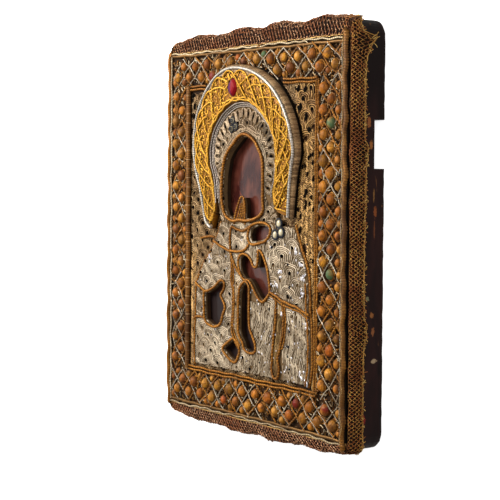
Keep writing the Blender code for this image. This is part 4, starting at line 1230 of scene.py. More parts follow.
def flow(low: Pair, high: Pair, turn: float, pitch: float, seed: int) -> list[Route]:
    """Fill a box with long wavy threads side by side.

    Args:
        low: The box's lower left corner.
        high: Its upper right corner.
        turn: The threads' direction in degrees.
        pitch: The distance between threads.
        seed: Which of the possible wanders is used.

    Returns:
        Flat routes.
    """
    rng = np.random.default_rng(seed)
    middle = (np.array(low) + np.array(high)) / 2.0
    reach = math.hypot(high[0] - low[0], high[1] - low[1]) / 2.0
    way, across = turned(math.radians(turn))
    routes = []
    for offset in np.arange(-reach, reach, pitch):
        begin = -reach
        while begin < reach:
            end = begin + rng.uniform(9.0, 26.0)
            steps = np.arange(begin, end, 1.2)[:, None]
            route = middle + across * (offset + rng.uniform(-0.3, 0.3)) + way * steps
            if len(route) > 3:
                route = waver(waver(route, 1.6, 6.5, seed), 1.2, 17.0, seed + 1)
                kept = [q for q in route if low[0] < q[0] < high[0] and low[1] < q[1] < high[1]]
                if len(kept) > 3:
                    routes.append(np.array(kept))
            begin = end + 0.8
    return routes


def wheat(low: Pair, high: Pair, columns: int, pitch: float, seed: int) -> list[Route]:
    """Fill a box with upright columns of small chevrons."""
    rng = np.random.default_rng(seed)
    half = (high[0] - low[0]) / columns / 2.0
    routes = []
    for k in range(columns):
        x = low[0] + half * (2 * k + 1)
        for y in np.arange(low[1], high[1], pitch):
            rise = rng.uniform(1.6, 2.8)
            for side in (-1.0, 1.0):
                arm = side * half
                route = [(x + side * 0.3, y), (x + arm * 0.6, y + rise * 0.75), (x + arm, y + rise)]
                routes.append(waver(smooth(route, 0.8), 0.9, 8.0, seed))
    return routes


class Zone(Enum):
    """The embroidered areas of the cover."""

    FIELD = "field"
    ROBE = "robe"
    HOOD = "hood"


@dataclass
class Cover:
    """The embroidered cloth: its ground, its field, the padded robe and the hood."""

    field_left: float = -92.4
    field_right: float = 87.2
    field_top: float = 112.6
    field_bottom: float = -116.0
    robe_level: float = GROUND + 1.6
    hood_foot: float = 7.0
    thread: float = 0.55
    loop_depth: float = 8.6
    loop_every: int = 9
    loop_ends: int = 14
    face_rows: int = 3
    stole_rows: int = 48
    stole_pitch: float = 1.05
    stole_marks: tuple[float, ...] = (40.0, 50.0, 63.0, 79.0, 86.0, 93.0)
    stole_left: tuple[float, ...] = (-22.3, -19.2, -19.8, -21.0, -17.4, -12.0)
    stole_right: tuple[float, ...] = (-12.4, -13.9, -14.4, -14.4, -12.5, -8.0)
    tab_rows: int = 13
    side_pits: int = 26
    lone_glints: tuple[tuple[Pair, Pair, float, int], ...] = (
        ((-10.0, 84.0), (-112.0, -6.0), 0.75, 110), ((-80.0, -10.0), (-112.0, -20.0), 0.6, 40))
    glint_cluster: int = 7
    cloth_size: Pair = (0.254, 0.2937)
    cloth_area: float = 0.068
    dark_beads: Points = ((55.5, -23.2), (57.7, -40.7), (59.8, -48.3), (58.2, -73.8), (56.3, -85.1),
                          (56.4, -92.8), (58.5, -102.0), (72.8, -13.7), (77.4, -7.6), (33.5, -11.4))
    dots: Points = ((-64, -92), (-43, -102), (-66, -102), (-20, -112.5), (-3, -111), (6.5, -100), (17, -101.4),
                    (3.3, -93.7), (-43, -83), (30.6, -112.4), (5, -63.5), (27, -69.8), (33.3, -76))
    glints: Points = ((67, -13), (73, -22), (74, -33), (76, -43), (40, -40), (80, -65), (74, -104),
                      (-57, -22.5), (48, -61), (82, -110), (11, -38), (46, -30))
    holes: Points = ((-89, 109.5), (-87, 101), (-88, 93.6), (65, 109), (74, 108), (86.2, 107), (75.5, 87),
                     (68, 94.6), (79, 77), (76, 31), (85.5, 41), (68, 53))

    def __post_init__(self) -> None:
        """Prepare the outlines that bound the zones."""
        self.halo = halo_outline()
        self.ring = shifted(smooth(Outline.HALO_INNER, 1.0), -5.2)
        self.pits: list[tuple[float, ...]] = []

    def zone(self, x: float, y: float, z: float) -> Optional[Zone]:
        """Return the zone of a point on the cover, or None outside them."""
        if not (self.field_left < x < self.field_right and self.field_bottom < y < self.field_top):
            return None
        if z > self.robe_level:
            return Zone.HOOD if y > self.hood_foot else Zone.ROBE
        return Zone.FIELD if z > GROUND - 0.4 and not inside(x, y, self.halo) else None

    def keeper(self, zone: Zone, clear: float = 0.0, low: float = -200.0) -> Keep:
        """Return the test that keeps a thread in its zone.

        Args:
            zone: The zone.
            clear: How far it must stay from the loops round the hood.
            low: The lowest y.

        Returns:
            The test.
        """
        looped = self.ring[self.loop_ends:-self.loop_ends]

        def keep(x: float, y: float, z: float) -> bool:
            """Say whether a point may stay."""
            if self.zone(x, y, z) is not zone or y <= low:
                return False
            return not clear or float(np.hypot(*(looped - (x, y)).T).min()) > clear

        return keep

    def build_ground(self, dress: Dresser) -> None:
        """The cloth itself, which shows between the threads."""
        cloth = merged_copy("cover_cloth", "embroidered_cover", dress.finish(Palette.cover_cloth))
        cloth.data.polygons.foreach_set("use_smooth", [False] * len(cloth.data.polygons))
        place(cloth, "silver_work", "embroidered_cover")

    def build_fans(self, dress: Dresser, name: str, keep: Keep, fan: Fans, low: Pair, high: Pair,
                   finish: Any, pit: float) -> None:
        """Fill a part of the cover with arches, and note a dark pit of painted shade in each.

        Args:
            dress: The dresser.
            name: The piece's name.
            keep: The test for where the threads may go.
            fan: How the arches lie.
            low: The lower left corner of the part.
            high: Its upper right corner.
            finish: The thread's finish.
            pit: The radius of the pits.
        """
        routes, eyes = fan.routes(low, high)
        runs = []
        for route in routes:
            boxed = [p for p in resample(route, 1.2) if low[0] <= p[0] <= high[0] and low[1] <= p[1] <= high[1]]
            if len(boxed) > 2:
                runs += dress.relief.lay(np.array(boxed), self.thread * 0.8, keep)
        place(dress.threads(name, runs, finish, self.thread, seed=len(runs)), "silver_work")
        rng = np.random.default_rng(len(runs))
        for x, y in eyes:
            z = dress.relief.height(x, y)
            if z is not None and low[0] < x < high[0] and low[1] < y < high[1] and keep(x, y, z):
                size = pit * (rng.uniform(0.8, 1.25) if rng.random() < 0.7 else 0.45)
                self.pits.append((x, y, z + 0.85, size, 0.3, rng.uniform(1.3, 1.8), rng.uniform(-0.5, 0.5)))

    def build_flows(self, dress: Dresser) -> None:
        """Long wavy threads in the lower robe, and upright chevrons in the narrow field at the right."""
        def laid(routes: list[Route], lift: float, keep: Keep) -> list[Route]:
            """Lay some routes on the cover."""
            return [run for route in routes for run in dress.relief.lay(route, lift, keep)]

        robe, field = self.keeper(Zone.ROBE), self.keeper(Zone.FIELD)
        ribbon = np.array(Outline.FIGURE["ribbon"], float)
        band = laid(flow((34.0, -110.0), (52.0, -49.0), 88.0, 1.5, 8), 0.5, lambda x, y, z: inside(x, y, ribbon))
        place(dress.threads("ribbon_threads", band, Palette.stole, 0.6, seed=11), "gold_cord")
        boxes = (((49.0, -115.4), (84.0, -59.0), 88.0, 5), ((3.0, -115.4), (36.5, -54.0), 72.0, 6),
                 ((-12.0, -38.0), (31.0, 7.0), 100.0, 7))
        runs = [run for *box, seed in boxes for run in laid(flow(*box, 1.45, seed), 0.5, robe)]
        place(dress.threads("robe_flow_threads", runs, Palette.robe, 0.58, seed=9), "silver_work")
        strips = (((62.0, -8.0), (87.2, 66.0), 4), ((76.0, -60.0), (87.6, -8.0), 2),
                  ((84.5, -115.0), (88.6, -60.0), 1), ((-93.0, -114.0), (-84.0, -20.0), 1))
        rows = [run for strip in strips for run in laid(wheat(*strip, 1.5, 14), 0.6, field)]
        place(dress.threads("field_chevrons", rows, Palette.golden, 0.52, seed=10), "silver_work")

    def build_stole(self, dress: Dresser) -> None:
        """The stole's close rows across the padding beside the slit."""
        runs = []
        for k in range(self.stole_rows):
            y = -self.stole_marks[0] - k * self.stole_pitch
            left, right = (np.interp(-y, self.stole_marks, side) for side in (self.stole_left, self.stole_right))
            row = np.full(7, y) + 0.4 * np.sin(np.linspace(0.0, math.pi, 7))
            runs += dress.relief.lay(np.column_stack([np.linspace(left, right, 7), row]), 0.5)
        tab = np.array(Outline.FACE_TAB, float)
        for share in np.linspace(0.04, 0.96, self.tab_rows):
            route = [(-20.0 + 16.2 * share, 5.0), (-16.5 + 12.4 * share, 14.0), (-11.0 + 5.6 * share, 26.0)]
            runs += dress.relief.lay(smooth(route, 0.8), 0.5, lambda x, y, z: inside(x, y, tab))
        place(dress.threads("stole_rows", runs, Palette.stole, 0.55, seed=4), "gold_cord")

    def build_hood(self, dress: Dresser) -> None:
        """Loops that stand round the hood under the halo, and rows that follow the face opening."""
        away = side_of(self.ring)
        rng = np.random.default_rng(8)
        runs, hood = [], self.keeper(Zone.HOOD)
        for k in range(self.loop_ends, len(self.ring) - self.loop_ends, self.loop_every):
            tip, inward = self.ring[k], -away[k]
            along = np.array([inward[1], -inward[0]])
            depth = self.loop_depth * rng.uniform(0.8, 1.1)
            for half in (4.2, 3.1, 2.0):
                arc = [tip + inward * (half - half * math.sin(a)) + along * half * math.cos(a)
                       for a in np.linspace(0.0, math.pi, 7)]
                ends = [tip + inward * depth + along * half, tip + inward * depth - along * half]
                route = waver(resample(np.array([ends[0], *arc, ends[1]]), 1.0), 0.8, 7.0, k)
                runs += dress.relief.lay(route, 0.6, hood)
            x, y = tip + inward * depth * 0.55
            z = dress.relief.height(x, y)
            if z is not None and self.zone(x, y, z) is Zone.HOOD:
                turn = math.atan2(inward[1], inward[0])
                # A pit of painted shade in the loop's slot.
                self.pits.append((x, y, z + 0.8, 1.2 * rng.uniform(0.7, 1.2), 0.3, 1.9, turn))
        face = smooth(Outline.FACE, 1.0, True)
        for k in range(self.face_rows):
            route = waver(shifted(face, -2.6 - 1.25 * k, True), 0.7, 8.0, k)
            runs += dress.relief.lay(route, 0.7, self.keeper(Zone.HOOD, self.loop_depth, 18.0))
        lit, shaded = [], []
        for run in runs:
            right = (run[:, 0] > 16.0) & (run[:, 1] < 84.0)
            for cut in stretches(right):
                if len(cut) > 1:
                    (shaded if right[cut[0]] else lit).append(run[cut])
        parts = [dress.threads("hood_loops", lit, Palette.hood, 0.58, seed=8),
                 dress.threads("hood_shaded_loops", shaded, Palette.hood_shade, 0.52, seed=9)]
        place(join("hood_loops", parts), "silver_work")

    def build_points(self, dress: Dresser) -> None:
        """The pits of painted shade in the loops, the dark glass beads and the bright knobs painted as
        highlights on the robe.
        """
        rng = np.random.default_rng(61)
        beads, bright = [], []
        for x, y in (*self.dark_beads, *self.dots):
            size = 1.6 if (x, y) in self.dark_beads else 1.0
            beads.append((x, y, (dress.relief.height(x, y) or GROUND + 2.4) + 0.5, size, 0.9 * size, 1.0, 0.0))
        for x, y in slanted(np.array(self.holes, float)):
            self.pits.append((x, y, GROUND + 1.4, 1.9, 0.4, 1.5, rng.uniform(-0.4, 1.7)))
        self.pits += [(rng.uniform(63.0, 86.0), rng.uniform(-50.0, 62.0), GROUND + 1.6, 1.2, 0.3, 1.6, 1.4)
                      for _ in range(self.side_pits)]
        # The bright knobs are painted highlights: the sparkle of the robe's thread, spread singly and in
        # clusters.
        spread = [(rng.uniform(*across), rng.uniform(*upward), size)
                  for across, upward, size, count in self.lone_glints for _ in range(count)]
        spread += [(x + rng.normal(0.0, 1.9), y + rng.normal(0.0, 1.5), 1.0)
                   for x, y in self.glints for _ in range(self.glint_cluster)]
        for x, y, size in spread:
            z = dress.relief.height(x, y)
            if z is not None and self.zone(x, y, z) is Zone.ROBE:
                size *= rng.uniform(0.7, 1.15)
                bright.append((x, y, z + 1.0, size, 0.3 + 0.2 * size, 1.2, rng.uniform(0.0, 3.1)))
        # The pits are near-black knobs: painted shade inside the holes and slots, where the dark ground also
        # shows.
        place(knobs("cover_eyelets", self.pits, dress.finish(Palette.pit)), "silver_work")
        place(knobs("robe_glass_beads", beads, dress.finish(Palette.glass), 8), "silver_work")
        place(knobs("robe_glints", bright, dress.finish(Palette.painted_glint), 8), "silver_work")

    def build(self, dress: Dresser) -> None:
        """Make the cloth and fill every zone."""
        self.build_ground(dress)
        low, high = (self.field_left, self.field_bottom), (self.field_right, self.field_top)
        field, robe = self.keeper(Zone.FIELD), self.keeper(Zone.ROBE)
        self.build_fans(dress, "field_threads", field, Fans(5.4, 1.6, 1.2, 6.4, 6.6, 0.0, 0.9, 3), low,
                        (64.0, high[1]), Palette.field, 1.45)
        self.build_fans(dress, "field_threads_right", self.keeper(Zone.FIELD, 0.0, 64.0),
                        Fans(6.2, 1.8, 1.3, 7.2, 7.4, 0.0, 0.9, 4), (60.0, 60.0), high, Palette.golden, 1.7)
        self.build_fans(dress, "robe_threads_left", robe, Fans(6.2, 1.5, 1.15, 7.4, 7.6, 6.0, 1.1, 11),
                        (-88.0, -115.4), (3.4, 8.0), Palette.robe, 1.15)
        self.build_fans(dress, "robe_threads_right", robe, Fans(7.4, 1.7, 1.25, 8.6, 8.8, -5.0, 1.0, 17),
                        (28.0, -62.0), (88.0, 8.0), Palette.robe, 1.4)
        self.build_flows(dress)
        self.build_hood(dress)
        self.build_fans(dress, "hood_threads", self.keeper(Zone.HOOD, self.loop_depth - 1.0),
                        Fans(4.6, 1.5, 1.15, 5.6, 5.8, 0.0, 1.0, 23), (-60.0, 6.0), (62.0, 96.0),
                        Palette.hood, 1.15)
        self.build_stole(dress)
        self.build_points(dress)


# ---- figure


@dataclass
class FigureCords:
    """The couched cords of the robe and the rims of the openings."""

    half: float = 1.35
    face_half: float = 1.6
    lay: float = 2.5
    doubled: tuple[tuple[str, float, int], ...] = (
        ("robe_right", -2.9, 5), ("robe_left", 2.9, 5), ("stole", 2.7, 1), ("lapel", -2.6, 0),
        ("ribbon", -2.3, 9))

    def build(self, dress: Dresser) -> None:
        """Lay every cord of the figure."""
        follow = dress.relief.follow
        runs = [follow(waver(smooth(points, 0.9), 0.35, 7.0, 2), self.half)
                for points in Outline.FIGURE.values()]
        thin = [shifted(smooth(Outline.FIGURE[name][first:], 0.9), away) for name, away, first in self.doubled]
        laid = [follow(waver(route, 0.5, 8.0, 3), 1.1) for route in thin]
        rims = [follow(smooth(points, 0.9, True), self.half) for points in Outline.RIMS]
        parts = [dress.twisted("figure_runs", runs, Palette.cord, self.half, self.lay, seed=2),
                 dress.twisted("figure_doubles", laid, Palette.cord, 1.0, 2.6, seed=3),
                 dress.twisted("figure_rims", rims, Palette.cord, self.half, self.lay, seed=3, closed=True)]
        place(join("figure_cord_work", parts), "gold_cord", "figure_cords")
        face = follow(smooth(Outline.FACE, 0.9, True), self.face_half)
        tab = [follow(smooth(points, 0.8), 1.0) for points in (Outline.FACE_TAB, *Outline.TAB_CORDS)]
        parts = [dress.twisted("face_rim", [face], Palette.cord, self.face_half, self.lay, seed=5, closed=True),
                 dress.twisted("face_tab_cord", tab, Palette.cord, 1.1, 2.2, seed=6)]
        place(join("face_rim_cord", parts), "gold_cord", "face_cord")


# ---- border


@dataclass
class Border:
    """The frame cords, and between them beads in diamonds of twisted thread."""

    outer_x: float = 124.4
    outer_top: float = 142.4
    outer_bottom: float = -147.6
    cord_half: float = 2.3
    inner_left: float = -95.5
    inner_right: float = 90.2
    inner_top: float = 115.2
    inner_bottom: float = -117.0
    pitch: float = 9.2
    bead_radius: float = 5.0
    edge_move: float = 2.9
    lattice_level: float = GROUND + 1.7
    scribble_area: float = 8.5
    edge_beads: float = 0.65
    knot_share: float = 0.2
    gap_share: float = 0.16
    outer_size: float = 0.78
    top_rows: Pair = (124.4, 133.4)
    bottom_rows: Pair = (-137.0, -127.5)
    left_columns: Pair = (-115.8, -106.6)
    right_columns: Triple = (98.5, 107.7, 116.6)
    stained: tuple[tuple[float, float, int], ...] = (
        (62.0, -127.0, 1), (106.0, -127.0, 1), (-107.0, -95.0, 1), (-53.0, 128.0, 1), (109.0, 80.0, 2),
        (109.0, -31.0, 2), (20.0, 138.0, 2), (-110.0, 33.0, 3))

    def __post_init__(self) -> None:
        """Prepare the halo's outline and the strips' random numbers."""
        self.halo = halo_outline()
        self.rng = np.random.default_rng(73)

    def free(self, points: Route, margin: float = 0.0) -> Route:
        """Return the points that the halo doesn't cover, moved on to the slanting top edge."""
        return np.array([p for p in slanted(points) if not inside(p[0], p[1] - margin, self.halo)])

    def bands(self) -> dict[str, tuple[list[float], list[float]]]:
        """Return the columns and rows of each strip's lattice."""
        clear = self.cord_half + 0.3
        outer_x, top, bottom = self.outer_x - clear, self.outer_top - clear, self.outer_bottom + clear
        top_row, bottom_row = self.inner_top + clear, self.inner_bottom - clear
        ends, sides = self.spread(-outer_x, outer_x), self.spread(bottom_row + 0.3, top_row - 0.3)
        return {"beadwork_top": (ends, [top_row, *self.top_rows, top]),
                "beadwork_bottom": (ends, [bottom, *self.bottom_rows, bottom_row]),
                "beadwork_left": ([-outer_x, *self.left_columns, self.inner_left - clear], sides),
                "beadwork_right": ([self.inner_right + clear, *self.right_columns, outer_x], sides)}

    def spread(self, low: float, high: float) -> list[float]:
        """Return even positions at about the pitch."""
        return np.linspace(low, high, round((high - low) / self.pitch) + 1).tolist()

    def crossings(self, columns: list[float], rows: list[float]) -> list[Route]:
        """Return the diagonal threads of a strip, as chains of crossings."""
        runs = []
        for direction in (1, -1):
            starts = [(i, j) for i in range(len(columns)) for j in range(len(rows)) if (i + j) % 2]
            for i, j in starts:
                if 0 <= i - 1 < len(columns) and 0 <= j - direction < len(rows):
                    continue
                chain = []
                while 0 <= i < len(columns) and 0 <= j < len(rows):
                    chain.append((columns[i], rows[j]))
                    i, j = i + 1, j + direction
                if len(chain) > 1:
                    runs.append(np.array(chain) + self.rng.uniform(-0.7, 0.7, (len(chain), 2)))
        return runs

    def bead_spots(self, columns: list[float], rows: list[float]) -> Route:
        """Return x, y and size of each bead: whole ones in the diamonds, small ones at the edges."""
        spots = []
        last_column, last_row = len(columns) - 1, len(rows) - 1
        for i, x in enumerate(columns):
            for j, y in enumerate(rows):
                at_end = j in (0, last_row)
                if (i + j) % 2 or (at_end and last_column <= last_row):
                    continue
                size = self.rng.uniform(0.82, 1.0) * (self.outer_size if x == self.right_columns[-1] else 1.0)
                if i in (0, last_column) or at_end:
                    if self.rng.random() <= self.edge_beads:
                        spots.append((x + self.edge_move * ((i == 0) - (i == last_column)),
                                      y + self.edge_move * ((j == 0) - (j == last_row)), size * 0.68))
                else:
                    spots.append((x + self.rng.uniform(-0.7, 0.7), y + self.rng.uniform(-0.7, 0.7), size))
        return self.free(np.array(spots), 1.5)

    def build_beads(self, dress: Dresser, name: str, spots: Route) -> None:
        """Make one strip's beads, with a loose ring of brown thread round each."""
        mesh = bpy.data.meshes.new("bead points")
        mesh.from_pydata([(x * MM, y * MM, (GROUND + 1.0 * size) * MM) for x, y, size in spots], [], [])
        stain = mesh.attributes.new("stain", "FLOAT", "POINT")
        share = mesh.attributes.new("size", "FLOAT", "POINT")
        for k, (x, y, size) in enumerate(spots):
            near = [dye for sx, sy, dye in self.stained if math.hypot(x - sx, y - sy) < 5.0]
            stain.data[k].value = float(near[0]) if near else 0.0
            share.data[k].value = size
        beads = dress.bead.grow(name + "_beads", add_object("bead points", mesh), dress.finish(Palette.bead),
                                radius=self.bead_radius * MM, lean=0.22, height_share=0.88, seed=len(spots))
        place(beads, "bead_wood", name)
        rings, sweep = [], turns(12)
        for x, y, size in spots:
            reach = self.bead_radius * size * (1.0 + 0.07 * np.sin(3.0 * sweep + self.rng.uniform(0.0, 6.0)))
            height = GROUND + 0.7 + 0.3 * np.sin(sweep + self.rng.uniform(0.0, 6.0))
            rings.append(oval(x, y, reach, reach, sweep, height))
        place(dress.threads(name + "_rings", rings, Palette.cord, 0.75, 5, 7, closed=True), "gold_cord")

    def build_lattice(self, dress: Dresser, name: str, columns: list[float], rows: list[float]) -> None:
        """Lay one strip's diagonals, some silver and some brown, with knots where some of them cross."""
        silver, brown, knotted = [], [], []
        for chain in self.crossings(columns, rows):
            kind = self.rng.random()
            knotted += [point for point in chain[1:-1] if self.rng.random() < self.knot_share]
            for a, b in zip(chain, chain[1:]):
                if self.rng.random() < self.gap_share:
                    continue
                bow = (a + b) / 2.0 + self.rng.uniform(-0.8, 0.8, 2)
                over = 0.12 * (b - a)
                route = self.free(smooth([a - over, bow, b + over], 1.3))
                if len(route) < 3:
                    continue
                height = self.lattice_level + self.rng.uniform(-0.3, 0.3)
                laid = np.column_stack([route, height + 0.5 * np.sin(np.linspace(0.0, math.pi, len(route)))])
                if kind < 0.46 or kind > 0.88:
                    silver.append(laid)
                if kind > 0.36:
                    brown.append(laid + [0.7, 0.7, -0.1])
        place(dress.twisted(name + "_lattice", silver, Palette.silver, 0.55, 1.5, seed=6), "silver_cord")
        place(dress.twisted(name + "_brown_lattice", brown, Palette.cord, 0.9, 2.4, seed=7), "gold_cord")
        height, rng = self.lattice_level + 0.6, self.rng
        spots = [(x, y, height, rng.uniform(0.7, 1.2), 0.7, 1.2, rng.uniform(0.0, 3.0))
                 for x, y in self.free(np.array(knotted))]
        place(knobs(name + "_knots", spots, dress.finish(Palette.silver), 6), "silver_cord")

    def build_scribble(self, dress: Dresser) -> None:
        """Short curls of brown thread that cover the cloth between the beads."""
        runs = []
        for columns, rows in self.bands().values():
            low, high = (min(columns) - 0.5, min(rows) - 0.5), (max(columns) + 0.5, max(rows) + 0.5)
            for _ in range(int((high[0] - low[0]) * (high[1] - low[1]) / self.scribble_area)):
                middle = self.rng.uniform(low, high)
                begin, sweep = self.rng.uniform(0.0, 6.28), self.rng.uniform(0.8, 1.7)
                radius = self.rng.uniform(1.8, 4.5)
                angles = np.linspace(begin, begin + sweep, 5)
                route = self.free(middle + radius * np.stack([np.cos(angles), np.sin(angles)], axis=1))
                if len(route) == 5:
                    runs.append(level(route, GROUND + self.rng.uniform(0.3, 2.3)))
        parts = [dress.threads("border_curls_dark", runs[::2], Palette.shade, 0.5, 4, 75),
                 dress.threads("border_curls_gilt", runs[1::4], Palette.cord, 0.5, 4, 76),
                 dress.threads("border_curls_pale", runs[3::4], Palette.cream, 0.4, 4, 77)]
        place(join("border_curls", parts), "gold_cord")

    def laid(self, lines: Sequence[Points], height: float, size: float, length: float, seed: int) -> list[Route]:
        """Return wavering routes through the given points at one height."""
        return [level(waver(slanted(smooth(points, 1.2)), size, length, seed), height) for points in lines]

    def build_outer(self, dress: Dresser) -> None:
        """The outer frame: thick wrapped cords at both sides, thin twisted ones above and below, and a thread of
        painted shadow right of the thick cord.
        """
        x, top, bottom = self.outer_x, self.outer_top, self.outer_bottom
        right = self.laid([[(x + 0.6, bottom - 1.6), (x, bottom + 9.0), (x + 0.1, 0.0), (x + 0.2, top - 9.0),
                            (x - 0.6, top + 0.8)]], GROUND + 1.8, 1.2, 9.0, 2)
        left = self.laid([[(-x - 0.8, bottom - 1.6), (-x - 3.2, bottom + 6.0), (-x - 4.0, -60.0),
                           (-x - 3.6, 40.0), (-x - 3.0, top - 6.0), (-x - 1.0, top + 1.6)]],
                         GROUND + 1.8, 1.2, 9.0, 6)
        gilt = self.laid([[(x - 2.9, bottom + 1.0), (x - 2.7, 0.0), (x - 2.9, top - 3.0)]],
                         GROUND + 2.6, 0.4, 12.0, 7)
        # A near-black thread painted as the shadow on the lace to the right of the thick cord.
        shade = self.laid([[(x + 3.4, bottom), (x + 3.1, 0.0), (x + 2.8, top)]], GROUND + 1.0, 0.5, 8.0, 8)
        strand = self.laid([[(x - 0.4, bottom), (x - 0.9, 0.0), (x - 1.0, top)]], GROUND + 3.3, 1.3, 6.0, 10)
        tan = self.laid([[(-x + 1.2, top + 0.6), (0.0, top - 0.9), (x - 3.0, top - 1.7)],
                         [(-x + 1.0, bottom + 0.8), (0.0, bottom + 1.0), (x - 3.0, bottom + 0.6)]],
                        GROUND + 1.2, 0.4, 12.0, 4)
        bright = self.laid([[(-x - 0.6, top + 2.4), (-60.0, top + 1.5), (40.0, top + 1.6), (x - 1.5, top + 1.0)],
                            [(-x - 0.6, bottom - 2.0), (-40.0, bottom - 0.9), (30.0, bottom - 0.9),
                             (x, bottom - 1.8)],
                            [(-x - 0.4, bottom), (-x - 0.6, 0.0), (-x - 0.4, top + 2.0)]],
                           GROUND + 1.6, 0.9, 9.0, 9)
        parts = [dress.wrapped("outer_thick", right, Palette.gimp, 2.5, 1.7, 1.9),
                 dress.wrapped("outer_left", left, Palette.cord, 1.9, 1.5, 1.9),
                 dress.threads("outer_shade", shade, Palette.pit, 1.3, 6, 79),
                 dress.twisted("outer_strand", strand, Palette.stole, 0.8, 2.6, seed=78),
                 dress.twisted("outer_gilt", gilt, Palette.silver, 0.6, 1.6, seed=13),
                 dress.wrapped("outer_thin", tan, Palette.shade, 1.2, 1.0, 1.0),
                 dress.twisted("outer_bright", bright, Palette.cream, 0.9, 2.4, seed=12)]
        place(join("outer_frame_work", parts), "gold_cord", "outer_frame_cord")

    def build_inner(self, dress: Dresser) -> None:
        """The inner frame: a thick wrapped cord at the left and pairs of thin ones elsewhere."""
        left, right, top, bottom = self.inner_left, self.inner_right, self.inner_top, self.inner_bottom
        thick = self.laid([[(left, bottom - 1.0), (left + 0.3, 0.0), (left, top + 2.2)]],
                          GROUND + 2.0, 0.55, 13.0, 1)
        thin = []
        for d in (-1.3, 1.3):
            thin += self.laid([[(left + 2.0, bottom + d), (0.0, bottom + d), (right, bottom + d)],
                               [(right + d, bottom), (right + d - 0.5, 0.0), (right + d, top)],
                               [(46.0, top + d), (right, top + d)], [(left + 2.0, top + d), (-67.0, top + d)]],
                              GROUND + 1.5, 0.5, 12.0, 5)
        parts = [dress.wrapped("inner_thick", thick, Palette.gimp, 2.5, 1.75, 1.7),
                 dress.stitches("inner_stitches", thick, Palette.field, 7.5, 2.75, 1.95, 0.4),
                 dress.twisted("inner_thin", thin, Palette.cord, 1.2, 3.0, seed=14)]
        place(join("inner_frame_work", parts), "gold_cord", "inner_frame_cord")

    def build(self, dress: Dresser) -> None:
        """Make the four strips and the two frames."""
        for name, (columns, rows) in self.bands().items():
            self.build_beads(dress, name, self.bead_spots(columns, rows))
            self.build_lattice(dress, name, columns, rows)
        self.build_scribble(dress)
        self.build_outer(dress)
        self.build_inner(dress)


# ---- halo


